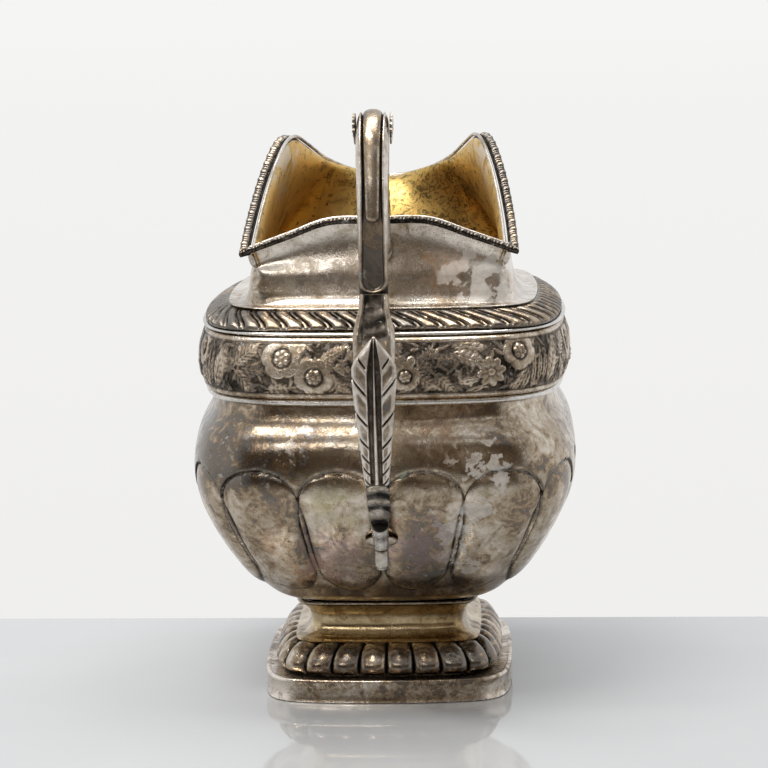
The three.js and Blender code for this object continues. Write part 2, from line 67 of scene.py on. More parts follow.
# How a section bows: a high power squares the corners, across and along flatten its sides.
ROUNDED = (6.5, 2.0, 2.8)
BOWED = (7.0, 3.0, 2.4)
SQUARED = (9.0, 3.0, 2.4)
TIGHT = (12.0, 4.0, 3.0)
CUSHION = (8.0, 2.2, 3.1)
UPRIGHT = (18.0, 5.0, 3.4)

BODY_LOBES = 18
FOOT_LOBES = 32
SHOULDER_LOBES = 62
RIM_LOBES = 84


# ------------------------------------------------------------------ shape helpers
def ease(x, start, end):
    t = np.clip((x - start) / (end - start), 0, 1)
    return t * t * (3 - 2 * t)


def mix(a, b, t):
    return a + (b - a) * t


def arc(x):
    """Height of a circle of radius 1 over x, and 0 beyond it."""
    return np.sqrt(np.maximum(0, 1 - x**2))


def ridge(x, width):
    """A soft ridge of height 1 over x = 0."""
    return np.exp(-((x / width) ** 2))


def once_round(count):
    return np.linspace(0, 2 * np.pi, count, endpoint=False)


def mixed_style(first, second, t):
    return tuple(mix(a, b, t) for a, b in zip(first, second))


def edge(angle, half_width, half_length, style):
    """Distance from the middle of a bowed rectangle to its edge, in the direction of an angle."""
    power, across, along = style
    c, s = np.cos(angle), np.sin(angle)
    side = np.hypot(c / half_width, s / (across * half_length))
    end = np.hypot(s / half_length, c / (along * half_width))
    return (side**power + end**power) ** (-1 / power)


def ring_points(angle, half_width, half_length, z, style, swell=0.0):
    distance = edge(angle, half_width, half_length, style) + swell
    flat = [distance * np.cos(angle), distance * np.sin(angle), np.broadcast_to(z, distance.shape)]
    return np.stack(flat, -1)


def rings_round(angles, outline, style, swell=0.0):
    """A ring at each [half width, half length, z] row of an outline."""
    return ring_points(angles[None, :], outline[:, :1], outline[:, 1:2], outline[:, 2:], style, swell)


def station_angles(count, half_width, half_length, style, turning=0.0):
    """Angles round a section from the middle of the back, evenly spaced along its edge, and the
    length of that edge. turning (mm for each radian of bend) sets them closer at the corners."""
    t = np.linspace(-np.pi / 2, 1.5 * np.pi, 7201)
    r = edge(t, half_width, half_length, style)
    dx, dy = np.diff(r * np.cos(t)), np.diff(r * np.sin(t))
    heading = np.unwrap(np.arctan2(dy, dx))
    bend = np.abs(np.diff(np.append(heading, heading[0] + 2 * np.pi)))
    run = np.concatenate([[0], np.cumsum(np.hypot(dx, dy) + turning * bend)])
    return np.interp(np.arange(count) / count * run[-1], run, t), run[-1]


def curve_through(points, count):
    """Points evenly spaced along a centripetal Catmull-Rom curve through a few points."""
    p = np.asarray(points, float)
    p = np.vstack([2 * p[0] - p[1], p, 2 * p[-1] - p[-2]])
    knots = np.concatenate([[0], np.cumsum(np.linalg.norm(np.diff(p, axis=0), axis=1) ** 0.5)])
    fine = []
    for i in range(1, len(p) - 2):
        t = np.linspace(knots[i], knots[i + 1], 60, endpoint=False)[:, None]

        def between(a, b, start, end):
            return a + (b - a) * (t - knots[start]) / (knots[end] - knots[start])

        a1 = between(p[i - 1], p[i], i - 1, i)
        a2 = between(p[i], p[i + 1], i, i + 1)
        a3 = between(p[i + 1], p[i + 2], i + 1, i + 2)
        b1 = between(a1, a2, i - 1, i + 1)
        b2 = between(a2, a3, i, i + 2)
        fine.append(between(b1, b2, i, i + 1))
    fine = np.vstack([*fine, p[-2:-1]])
    run = np.concatenate([[0], np.cumsum(np.linalg.norm(np.diff(fine, axis=0), axis=1))])
    wanted = np.linspace(0, run[-1], count)
    return np.column_stack([np.interp(wanted, run, column) for column in fine.T])


def inside_of(outline, thickness):
    """An outline of [half width, half length, z] rows moved in by a wall, its ends kept level."""
    step = np.gradient(outline, axis=0)
    run = np.hypot(step[:, 2], step[:, 0])
    moved = outline.copy()
    inward = thickness * step[:, 2] / run
    moved[:, 0] -= inward
    moved[:, 1] -= inward
    moved[:, 2] += thickness * step[:, 0] / run
    moved[0] = outline[0] - [thickness, thickness, 0]
    moved[-1] = outline[-1] - [thickness, thickness, 0]
    return moved


def picked_rows(points, density, count):
    """Some of the points: count of them, set closer together where the density is high."""
    run = np.cumsum(density)
    place = np.interp(np.linspace(run[0], run[-1], count), run, np.arange(len(points)))
    return points[np.round(place).astype(int)]


def bead(t, power=2.0):
    """Height (0 to 1) of a rounded rib over its own width, t from 0 to 1."""
    return np.maximum(0, 1 - np.abs(2 * t - 1) ** power) ** (1 / power)


def solid(name, rings, joined=True, hollow=None, smooth_up_to=50):
    """A closed mesh through rings of equal length: joined into a loop, or with its ends closed.
    hollow (0 to 1) says how deep in the relief each point lies, for the dark oxide there, and in a few
    pieces for painted shade as well."""
    rings = np.asarray(rings, float)
    rows, count = rings.shape[:2]
    points = rings.reshape(-1, 3)
    j, i = np.meshgrid(np.arange(rows if joined else rows - 1), np.arange(count), indexing="ij")
    here, beside = j * count + i, j * count + (i + 1) % count
    over, over_beside = ((j + 1) % rows) * count + i, ((j + 1) % rows) * count + (i + 1) % count
    quads = np.stack([here, beside, over_beside, over], -1).reshape(-1, 4)
    a, b, c, d = (points[quads[:, k]] for k in range(4))
    volume = (a * np.cross(b, c)).sum() + (a * np.cross(c, d)).sum()
    faces = quads.tolist()
    depth = np.zeros(len(points)) if hollow is None else np.broadcast_to(hollow, (rows, count)).ravel()
    if not joined:
        for ring, start, forward in ((rings[0], 0, False), (rings[-1], (rows - 1) * count, True)):
            hub = len(points)
            points = np.vstack([points, ring.mean(0)])
            depth = np.append(depth, depth[start])
            for k in range(count):
                pair = [start + k, start + (k + 1) % count]
                faces.append([hub, *(pair if forward else pair[::-1])])
    if volume < 0:
        faces = [face[::-1] for face in faces]
    mesh = bpy.data.meshes.new(name)
    mesh.from_pydata(((points + AXIS) * MM).tolist(), [], faces)
    mesh.attributes.new("hollow", "FLOAT", "POINT").data.foreach_set("value", depth.astype(np.float32))
    mesh.shade_smooth()
    mesh.set_sharp_from_angle(angle=math.radians(smooth_up_to))
    piece = bpy.data.objects.new(name, mesh)
    bpy.context.scene.collection.objects.link(piece)
    return piece


def settle(piece, node, material):
    """The piece stands for its CAD node and takes its finish."""
    piece.data.materials.append(material)
    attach(piece, "root")
    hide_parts(node)
    return piece


# ------------------------------------------------------------------ materials
class Graph:
    """Short ways to add shader nodes. A value may be a number, a colour or another socket."""

    def __init__(self, owner):
        owner.use_nodes = True
        self.tree = owner.node_tree
        self.tree.nodes.clear()

    def add(self, kind, inputs=None, **settings):
        node = self.tree.nodes.new(kind)
        for key, value in settings.items():
            setattr(node, key, value)
        for key, value in (inputs or {}).items():
            socket = node.inputs[key]
            if isinstance(value, bpy.types.NodeSocket):
                self.tree.links.new(value, socket)
            else:
                socket.default_value = value
        return node

    def math(self, operation, a, b=0.0, c=0.0):
        return self.add("ShaderNodeMath", {0: a, 1: b, 2: c}, operation=operation).outputs[0]

    def times(self, a, b):
        return self.math("MULTIPLY", a, b)

    def added(self, a, b, c):
        """a times b, added to c."""
        return self.math("MULTIPLY_ADD", a, b, c)

    def noise(self, place, size, detail=4.0, rough=0.55, warp=0.0):
        """Noise from 0 to 1 with features about `size` mm across."""
        inputs = {"Vector": place, "Scale": 1 / size, "Detail": detail, "Roughness": rough}
        node = self.add("ShaderNodeTexNoise", {**inputs, "Distortion": warp})
        return node.outputs["Fac"]

    def spread(self, value, low, high, to_low=0.0, to_high=1.0):
        inputs = {"Value": value, 1: low, 2: high, 3: to_low, 4: to_high}
        node = self.add("ShaderNodeMapRange", inputs, interpolation_type="SMOOTHSTEP")
        return node.outputs[0]

    def blend(self, share, first, second, mode="MIX"):
        node = self.add("ShaderNodeMix", data_type="RGBA", blend_type=mode)
        for index, value in ((0, share), (6, first), (7, second)):
            socket = node.inputs[index]
            if isinstance(value, bpy.types.NodeSocket):
                self.tree.links.new(value, socket)
            else:
                socket.default_value = value if index == 0 else (*value, 1.0)
        return node.outputs[2]

    def ramp(self, value, stops):
        node = self.add("ShaderNodeValToRGB", {0: value})
        elements = node.color_ramp.elements
        while len(elements) < len(stops):
            elements.new(0.5)
        for element, (place, colour) in zip(elements, stops):
            element.position = place
            element.color = (*colour, 1.0)
        return node.outputs[0]

    def place(self):
        """Place on the object in millimetres."""
        coordinates = self.add("ShaderNodeTexCoord").outputs["Object"]
        return self.scaled(coordinates, 1 / MM)

    def scaled(self, vector, scale):
        inputs = {0: vector, "Scale": scale}
        return self.add("ShaderNodeVectorMath", inputs, operation="SCALE").outputs[0]

    def near(self, place, centre, radius, ragged=None):
        """1 inside a ball of the jug's own frame, 0 outside, with an edge made ragged by a noise."""
        ends = {0: place, 1: Vector(centre) + Vector(AXIS)}
        distance = self.add("ShaderNodeVectorMath", ends, operation="DISTANCE").outputs["Value"]
        if ragged is not None:
            torn = self.spread(ragged, 0.36, 0.64, -0.75, 0.75)
            distance = self.added(torn, radius, distance)
        return self.spread(distance, radius * 1.12, radius * 0.82)

    def surface(self, shader, output="ShaderNodeOutputMaterial"):
        self.add(output, {"Surface": shader.outputs[0]})

    def metal(self, colour, roughness, height, depth, metallic=1.0):
        """Close the graph with a metal surface. depth (mm) scales the bump of the height."""
        bump = self.add("ShaderNodeBump", {"Height": height, "Strength": 1.0, "Distance": depth * MM})
        inputs = {"Base Color": colour, "Metallic": metallic, "Roughness": roughness}
        self.surface(self.add("ShaderNodeBsdfPrincipled", {**inputs, "Normal": bump.outputs[0]}))


# Colours that a film of tarnish takes as it thickens, from clean silver to black.
TARNISH = [
    (0.00, (0.80, 0.79, 0.77)),
    (0.20, (0.64, 0.61, 0.57)),
    (0.33, (0.47, 0.43, 0.37)),
    (0.43, (0.36, 0.30, 0.225)),
    (0.50, (0.23, 0.18, 0.14)),
    (0.56, (0.165, 0.165, 0.165)),
    (0.64, (0.20, 0.185, 0.165)),
    (0.78, (0.10, 0.088, 0.075)),
    (1.00, (0.018, 0.016, 0.014)),
]


PITTING = 0.05  # depth (mm) of the fine wear on a surface
DULL = 0.3  # a patch at least this much rougher than the silver is a crust, and less metallic


def silver(name, tarnish, variation, oxide, roughness, tint=(1, 1, 1), patches=(), engraving=0.0):
    """Worn silver. tarnish is the film's mean thickness, variation how much it varies, and oxide
    the darkening of hollows, which in a few pieces is painted shade. engraving (mm) is the depth of fine
    lines. Each patch is (centre, radius, colour, share, added roughness); some pale patches are partly
    painted reflection."""
    material = bpy.data.materials.new(name)
    g = Graph(material)
    place = g.place()
    cloud = g.noise(place, 26, 3, 0.5, 0.6)
    mottle = g.noise(place, 5, 8, 0.7, 1.1)
    speck = g.noise(place, 1.1, 4, 0.7)
    grain = g.noise(place, 0.28, 2, 0.6)
    hollow = g.add("ShaderNodeAttribute", attribute_name="hollow").outputs["Fac"]
    film = g.added(g.math("SUBTRACT", cloud, 0.5), 1.5 * variation, tarnish)
    film = g.added(g.math("SUBTRACT", mottle, 0.5), 1.7 * variation, film)
    film = g.added(g.math("SUBTRACT", speck, 0.5), 0.7 * variation, film)
    rough = g.added(g.spread(mottle, 0.35, 0.7), 0.16, roughness)
    rough = g.added(g.spread(speck, 0.45, 0.75), 0.12, rough)
    film = g.added(hollow, oxide, film)
    rough = g.added(hollow, 0.2, rough)
    colour = g.blend(1.0, g.ramp(film, TARNISH), tint, "MULTIPLY")
    spots = g.times(g.spread(g.noise(place, 2.6, 3, 0.5, 1.5), 0.64, 0.72), 0.45)
    colour = g.blend(spots, colour, (0.60, 0.57, 0.54))
    rough = g.added(spots, 0.3, rough)
    metallic = 1.0
    torn = g.noise(place, 4, 6, 0.6, 0.2) if patches else None
    for centre, radius, patch_colour, share, rougher in patches:
        broken = g.spread(speck, 0.25, 0.6, 0.45, 1.0)
        inside = g.times(g.near(place, centre, radius, torn), broken)
        if rougher >= DULL:
            metallic = g.added(inside, -share, metallic)
        colour = g.blend(g.times(inside, share), colour, patch_colour)
        rough = g.added(inside, rougher, rough)
    height = g.added(speck, 0.6, g.times(grain, 0.4))
    height = g.added(g.noise(place, 11, 2, 0.5), 6.0, height)
    if engraving:
        lines = g.spread(g.noise(place, 0.9, 2, 0.5, 2.5), 0.4, 0.56)
        lines = g.times(lines, g.spread(hollow, 0.2, 0.8, 0.15, 1.0))
        height = g.added(lines, engraving / PITTING, height)
    g.metal(colour, rough, height, PITTING, metallic)
    return material


def gilding(name):
    """Worn gilding with dark specks and brown patches. It is bitten near the spout, where a brown patch
    paints shade, and pale silvery patches at the two high ears of the lip are painted reflection."""
    material = bpy.data.materials.new(name)
    g = Graph(material)
    place = g.place()
    cloud = g.noise(place, 22, 3, 0.5, 0.5)
    mottle = g.noise(place, 6, 5, 0.6, 0.6)
    speck = g.noise(place, 1.3, 3, 0.6)
    golds = [(0.3, (0.70, 0.43, 0.11)), (0.5, (0.74, 0.52, 0.18)), (0.7, (0.54, 0.37, 0.12))]
    colour = g.ramp(cloud, golds)
    colour = g.blend(g.spread(mottle, 0.52, 0.68), colour, (0.36, 0.235, 0.08))
    # Painted shade: a brown patch darkens the gilding just inside the spout, where the top light reflects.
    shade_over_spout = g.near(place, (8, 40, 122), 15, mottle)
    colour = g.blend(g.times(shade_over_spout, 0.6), colour, (0.40, 0.28, 0.09))
    colour = g.blend(g.spread(speck, 0.62, 0.70), colour, (0.10, 0.07, 0.04))
    bitten = g.spread(g.noise(place, 2.4, 4, 0.65, 2.5), 0.50, 0.57)
    bitten = g.times(bitten, g.near(place, (10, 38, 121), 19, mottle))
    colour = g.blend(g.times(bitten, 0.75), colour, (0.09, 0.065, 0.03))
    # Painted reflection: pale silvery patches at the two high ears of the lip.
    for side in (-1, 1):
        ear_reflection = g.near(place, (side * 26, 2, 133), 9, mottle)
        colour = g.blend(g.times(ear_reflection, 0.7), colour, (0.66, 0.60, 0.52))
    rough = g.added(mottle, 0.4, 0.28)
    g.metal(colour, rough, speck, PITTING)
    return material


# Patches of other films on the silver, and pale patches that are partly painted reflection.
WHITE_STAIN_AND_SHEEN, COPPER_STAIN = (0.78, 0.77, 0.74), (0.58, 0.33, 0.18)
TEAL_STAIN, YELLOW_STAIN = (0.34, 0.42, 0.34), (0.50, 0.45, 0.27)
BROWN_STAIN, VIOLET_STAIN = (0.24, 0.145, 0.09), (0.26, 0.185, 0.18)
# The name, then the tarnish, its variation, the oxide in hollows and the roughness.
SILVER = silver("tarnished_silver", 0.42, 0.6, 0.55, 0.11, tint=(1.0, 0.93, 0.84), patches=(
    # The four pale patches down the right of the bowl are partly a pale film and partly painted reflection
    # along the creases there.
    ((23, -52, 61), 5.0, WHITE_STAIN_AND_SHEEN, 0.5, 0.3),
    ((22, -52, 51), 4.5, WHITE_STAIN_AND_SHEEN, 0.45, 0.3),
    ((18, -51, 45), 4.5, WHITE_STAIN_AND_SHEEN, 0.5, 0.3),
    ((19, -48, 38), 4.0, WHITE_STAIN_AND_SHEEN, 0.35, 0.3),
    ((4.5, -50, 50), 3.0, COPPER_STAIN, 0.8, 0.1),
    ((-17, -44, 36), 4.5, COPPER_STAIN, 0.5, 0.1),
    ((-23, -50, 62), 3.5, COPPER_STAIN, 0.5, 0.05),
    ((-34, -44, 62), 3.0, COPPER_STAIN, 0.4, 0.05),
    ((6, -52, 62), 3.0, TEAL_STAIN, 0.6, 0.05),
    ((-10, -53, 54), 5.0, YELLOW_STAIN, 0.5, 0.05),
    ((-20, -50, 66), 4.0, WHITE_STAIN_AND_SHEEN, 0.35, 0.1),
    ((-13, -48, 39), 6.0, VIOLET_STAIN, 0.6, 0.0),
    ((9, -49, 42), 7.0, VIOLET_STAIN, 0.6, 0.0),
    ((-27, -46, 44), 5.0, BROWN_STAIN, 0.45, 0.0),
    ((-6, -52, 63), 5.0, BROWN_STAIN, 0.5, 0.0),
    ((15, -52, 66), 7.0, BROWN_STAIN, 0.45, 0.0),
))
RELIEF = silver("oxidised_relief", 0.36, 0.6, 0.55, 0.2, engraving=0.13, tint=(1.0, 0.91, 0.81))
RIM_SILVER = silver("rim_silver", 0.52, 0.5, 0.6, 0.22, tint=(1.0, 0.95, 0.88))
# The shoulder's thick film darkens it against the overhead light's reflection: partly tarnish, partly
# painted shade.
SHOULDER_SILVER = silver("shoulder_silver", 0.53, 0.5, 0.5, 0.22, tint=(1.0, 0.93, 0.84))
# The neck's thin film makes it lighter than the other silver, partly as painted reflection; its pale patch
# on the right is partly painted highlight.
NECK_SILVER = silver("neck_silver", 0.19, 0.75, 0.5, 0.18, tint=(1.0, 0.93, 0.85), patches=(
    ((17, -41, 106), 5.0, COPPER_STAIN, 0.4, 0.1),
    ((24, -41, 105), 6.0, WHITE_STAIN_AND_SHEEN, 0.5, 0.3),
))
HANDLE_SILVER = silver("handle_silver", 0.28, 0.55, 0.55, 0.22, tint=(1.0, 0.95, 0.89))
LEAF_SILVER = silver("leaf_silver", 0.13, 0.5, 0.62, 0.28, tint=(1.0, 0.95, 0.9))
COLLAR_SILVER = silver("collar_silver", 0.5, 0.8, 0.6, 0.26)
RIB_SILVER = silver("rib_silver", 0.44, 0.5, 0.6, 0.2, tint=(1.0, 0.95, 0.88))
BRIGHT = silver("bright_silver", 0.2, 0.35, 0.6, 0.16)
FOOT_SILVER = silver("foot_silver", 0.48, 0.55, 0.55, 0.13, tint=(1.0, 0.93, 0.85))
PLINTH_SILVER = silver("plinth_silver", 0.29, 1.0, 0.5, 0.2, tint=(1.0, 0.92, 0.83))
# The two pale patches at the stem's front corners are painted reflections.
STEM_SILVER = silver("stem_silver", 0.38, 0.4, 0.5, 0.12, tint=(1.0, 0.84, 0.56), patches=tuple(
    ((side * 20, -15, 14), 4.5, WHITE_STAIN_AND_SHEEN, 0.5, 0.3) for side in (-1, 1)))
GILT = gilding("worn_gilding")


# ------------------------------------------------------------------ foot
def build_plinth():
    """An upright strip with a rubbed upper edge, and the flange that turns in from it."""
    half_width, half_length, bottom, top = size_of("foot_plinth")
    drawn_height = 5.7
    profile = curve_through([[0.05, 0], [0.3, 0.8], [0.42, 2.6], [0.28, 4.3], [0.0, 4.9]], 12)
    crest = curve_through([[0.0, 5.0], [0.06, 5.45], [0.45, 5.7], [0.95, 5.62], [1.25, 5.5]], 10)
    under = [[7.0, 5.55], [7.0, 4.85], [1.3, 4.7], [0.9, 4.2], [0.85, 0]]
    section = np.vstack([profile, crest, [[3.5, 5.5]], under])
    angles, _ = station_angles(480, half_width, half_length, SQUARED, 12)
    rings = []
    for inset, z in section:
        level = bottom + z * top / drawn_height
        rings.append(ring_points(angles, half_width - inset, half_length - inset, level, SQUARED))
    settle(solid("foot_plinth_fine", rings), "foot_plinth", PLINTH_SILVER)


def build_foot_gadroons():
    """Large rounded lobes that climb from the flange to the stem, with deep narrow creases."""
    steps = 34
    count = FOOT_LOBES * steps
    climb = [
        [27.3, 33.3, 6.05], [28.1, 34.1, 7.0], [28.2, 34.2, 8.6],
        [26.6, 32.3, 11.4], [24.9, 30.2, 12.7], [23.3, 28.3, 13.2],
    ]
    back = np.array([[22.4, 27.4, 12.2], [24.6, 30.2, 9], [25.2, 31.3, 6.05]])
    outline = curve_through(climb, 44)
    angles, _ = station_angles(count, 28.2, 34.2, SQUARED)
    across = (np.arange(count) % steps) / steps
    along = np.linspace(0, 1, len(outline))[:, None]
    crown = bead(across, 2.0)[None, :]
    body = np.sqrt(ease(along, -0.02, 0.2)) * (1 - 0.55 * ease(along, 0.7, 1.0))
    swell = 2.1 * (crown - 0.72) * body
    rings = rings_round(angles, outline, SQUARED, swell)
    rings[..., 2] += 0.9 * (crown - 0.8) * ease(along, 0.45, 0.75) * (1 - ease(along, 0.9, 1))
    hollow = (1 - ease(crown, 0.12, 0.7)) * (0.45 + 0.55 * body)
    rings = np.concatenate([rings, rings_round(angles, back, SQUARED)])
    hollow = np.concatenate([np.broadcast_to(hollow, (len(outline), count)), np.ones((len(back), count))])
    settle(solid("foot_gadroons_fine", rings, hollow=hollow), "foot_gadroon_border", FOOT_SILVER)


def build_stem():
    """Waisted pedestal whose skirt spreads over the border below it."""
    waist = [
        [23.5, 28.5, 13.25], [22.9, 27.8, 13.6], [21.0, 25.7, 14.4], [19.7, 24.4, 16.6],
        [20.1, 24.8, 19.6], [21.2, 26.0, 21.2], [22.4, 27.2, 22.2],
    ]
    outline = curve_through(waist, 36)
    angles, _ = station_angles(360, 20, 24.6, TIGHT, 14)
    section = np.vstack([outline, inside_of(outline, WALL)[::-3]])
    rings = [ring_points(angles, *row, TIGHT) for row in section]
    settle(solid("foot_stem_fine", rings), "foot_stem", STEM_SILVER)


def build_wire(node, style, depth=1.7, steps=360):
    """A drawn wire of rounded section laid in a joint."""
    half_width, half_length, bottom, top = size_of(node)
    reach = (top - bottom) * 0.5
    turn = once_round(14)
    angles, _ = station_angles(steps, half_width, half_length, style, 10)
    rings = []
    for t in turn:
        inset = depth / 2 * (1 - math.cos(t))
        z = (bottom + top) / 2 + reach * math.sin(t)
        rings.append(ring_points(angles, half_width - inset, half_length - inset, z, style))
    settle(solid(node + "_fine", rings), node, BRIGHT)


# ------------------------------------------------------------------ body
BOWL_OUTLINE = [
    [22.6, 27.4, 23.6],
    [28.0, 33.8, 25.2],
    [33.7, 40.4, 28.8],
    [39.2, 46.6, 36],
    [43.9, 51.7, 44],
    [47.0, 54.9, 51.5],
    [48.0, 56.0, 58.5],
    [46.6, 54.7, 67.5],
    [44.0, 52.1, 72.6],
    [43.2, 51.4, 76.2],
]
LOBE = {"depth": 1.6, "roll": 6.5, "rib": 0.8, "bottom": 29.0, "heel": 37.0, "cusp": 53.4, "top": 61.0}


def lobe_relief(across, z, pitch):
    """How far the bowl's wall is drawn in, and how deep in a crease it lies, at a height and a place
    across one lobe. Each lobe is a pillow whose edges roll in to a crisp line, and a thin raised
    rib runs down between two of them."""
    arch = arc(2 * across - 1)
    top = mix(LOBE["cusp"], LOBE["top"], arch)
    beside = pitch * np.minimum(across, 1 - across)
    rib = LOBE["rib"] * ease(LOBE["cusp"] - z, -1, 6)
    aside = np.maximum(beside - rib, 0)
    below = (top - z) * (0.45 + 0.55 * arch)
    bottom = mix(LOBE["heel"], LOBE["bottom"], arch)
    above = (z - bottom) * (0.6 + 0.5 * arch)
    edge_distance = np.minimum(np.minimum(aside, np.maximum(below, 0)), np.maximum(above, 0) * 1.3)
    roll = 1 - arc(1 - np.minimum(edge_distance / LOBE["roll"], 1))
    fade = ease(z, LOBE["bottom"] - 4.5, LOBE["bottom"] - 0.5)
    depth = mix(0.95, LOBE["depth"], ease(below, 0, 9))
    strand = arc(beside / np.maximum(rib * 0.92, 0.01))
    raised = 0.55 * strand * ease(rib, 0.2, 0.7) * ease(above, -0.5, 3)
    inside = np.where(z < top, raised - depth * roll, -0.16 * np.exp(np.minimum(below, 0) / 0.45))
    crease = np.where(rib > 0.15, np.abs(beside - rib), beside)
    crease = np.where((below > -0.8) & (above > -0.5), crease, 9)
    line = np.exp(-np.minimum(np.minimum(np.abs(below), np.abs(above)), crease) / 0.3)
    return inside * fade, line * fade


def build_bowl():
    """The raised bowl. Its rows are closest where the lobes end, and the lining's near the band."""
    steps = 46
    count = BODY_LOBES * steps
    whole = curve_through(BOWL_OUTLINE, 900)
    height = whole[:, 2]
    near_arches = 3.2 * ridge(height - 57.5, 4.5)
    outline = picked_rows(whole, 1 + near_arches + (height < 38), 92)
    share = np.arange(steps) / steps
    across = np.tile(share - 0.6 * np.sin(2 * np.pi * share) / (2 * np.pi), BODY_LOBES)
    fine, run = station_angles(BODY_LOBES * 200, 48, 56, BOWED)
    lobe = np.arange(count) // steps
    angles = np.interp((lobe + across) * 200, np.arange(len(fine)), fine)
    z = outline[:, 2:]
    swell, line = lobe_relief(across[None, :], z, run / BODY_LOBES)
    outer = rings_round(angles, outline, mixed_style(BOWED, ROUNDED, ease(z, 62, 74)), swell)
    lining = picked_rows(inside_of(whole, WALL), 1 + 3 * (height > 66), 28)[::-1]
    lining[-1, 2] += WALL
    z = lining[:, 2:]
    swell, _ = lobe_relief(across[None, :], z, run / BODY_LOBES)
    inner = rings_round(angles, lining, mixed_style(BOWED, ROUNDED, ease(z, 62, 74)), swell)
    rings = np.concatenate([outer, inner])
    hollow = np.concatenate([line, np.zeros((len(lining), count))])
    piece = solid("bowl_fine", rings, joined=False, hollow=hollow)
    settle(piece, "bowl", SILVER)
    line_with_gilding(piece, len(outline), count)


def line_with_gilding(piece, outer_rows, count):
    """The faces past the outer rows are inside the vessel, so they are gilt."""
    piece.data.materials.append(GILT)
    index = np.zeros(len(piece.data.polygons), np.int32)
    index[outer_rows * count:] = 1
    piece.data.polygons.foreach_set("material_index", index)


# ------------------------------------------------------------------ floral band
class Relief:
    """Heights (mm) of stamped ornament over a strip: u runs along it and v up it, from its middle."""

    def __init__(self, u, v):
        self.u, self.v = np.meshgrid(u, v)
        self.height = np.zeros_like(self.u)

    def local(self, x, y, turn):
        c, s = math.cos(turn), math.sin(turn)
        du, dv = self.u - x, self.v - y
        return du * c + dv * s, dv * c - du * s

    def petals(self, x, y, radius, height, turn, count, start, length, width, cup=0.5):
        """A ring of petals round x, y. start, length and width are shares of the radius."""
        for k in range(count):
            a = turn + 2 * math.pi * k / count
            foot = (x + start * radius * math.cos(a), y + start * radius * math.sin(a))
            self.petal(*foot, a, radius * length, radius * width, height, cup)

    def raise_to(self, height):
        self.height = np.maximum(self.height, height)

    def ball(self, x, y, radius, height):
        p, q = self.local(x, y, 0)
        self.raise_to(height * np.sqrt(np.maximum(0, 1 - (p * p + q * q) / radius**2)))

    def petal(self, x, y, turn, length, width, height, cup=0.5):
        """A round petal that starts at x, y and rises to a rolled outer edge."""
        p, q = self.local(x, y, turn)
        r = np.hypot((p - length / 2) / (length / 2), q / (width / 2))
        dish = mix(1 - cup, 1.0, np.clip(p / length, 0, 1)) * np.clip((1 - r) / 0.16, 0, 1) ** 0.5
        dent = 0.3 * ridge(q, 0.16 * width) * np.clip(1 - p / length, 0, 1)
        self.raise_to(height * (dish - dent) * (r < 1))

    def leaf(self, x, y, turn, length, width, height, veins=5):
        """A pointed leaf with a sunk midrib and slanting veins."""
        p, q = self.local(x, y, turn)
        share = np.clip(p / length, 0, 1)
        half = width / 2 * np.sin(np.pi * share**0.8) ** 0.9 + 1e-6
        body = arc(q / half) * ((p > 0) & (p < length))
        midrib = 0.45 * ridge(q, 0.16)
        rib = 0.22 * (np.cos(2 * np.pi * (share * veins - np.abs(q) / width * 1.6)) < -0.2)
        self.raise_to(height * np.maximum(0, body - midrib * body - rib * body))

    def stem(self, points, width, height):
        path = curve_through(points, 40)
        distance = np.full_like(self.u, 1e9)
        for x, y in path:
            distance = np.minimum(distance, np.hypot(self.u - x, self.v - y))
        self.raise_to(height * arc(distance / (width / 2)))

    def fern(self, x, y, turn, length, width, height, pairs=6):
        """A thin stem with narrow leaflets on both sides."""
        end = (x + length * math.cos(turn), y + length * math.sin(turn))
        self.stem([(x, y), ((x + end[0]) / 2, (y + end[1]) / 2), end], 0.5, height * 0.8)
        for k in range(pairs):
            share = (k + 0.6) / (pairs + 0.4)
            reach = width / 2 * math.sin(math.pi * (0.25 + 0.7 * share)) ** 0.7
            cx, cy = mix(x, end[0], share), mix(y, end[1], share)
            for side in (-1, 1):
                self.leaf(cx, cy, turn + side * 0.75, reach * 1.35, 0.95, height, 0)
        self.leaf(*end, turn, 1.4, 0.9, height, 0)

    def rose(self, x, y, radius, height, turn):
        """Five broad petals round a sunk ring and a centre of seven beads."""
        self.petals(x, y, radius, height * 0.72, turn, 5, 0.22, 0.82, 1.12)
        self.ball(x, y, radius * 0.4, height * 0.9)
        core = np.hypot(self.u - x, self.v - y)
        ring = ridge(core - radius * 0.46, 0.2)
        self.height -= 0.3 * height * ring
        for k in range(7):
            a = turn + 2 * math.pi * k / 6
            reach = 0 if k == 6 else radius * 0.27
            self.ball(x + reach * math.cos(a), y + reach * math.sin(a), radius * 0.15, height * 1.18)

    def daisy(self, x, y, radius, height):
        """Eight narrow petals round a button."""
        self.petals(x, y, radius, height * 0.85, 0.2, 8, 0.2, 0.85, 0.56, 0.3)
        self.ball(x, y, radius * 0.3, height * 1.05)


BACKGROUND_LEAVES = 330
TRAILING_STEM = [
    (-43, -2), (-34, 1.5), (-26, -1), (-16, 1.2), (-6, -3.6),
    (4, -2.6), (14, -0.6), (26, 0.5), (36, -1.2), (43, -2),
]


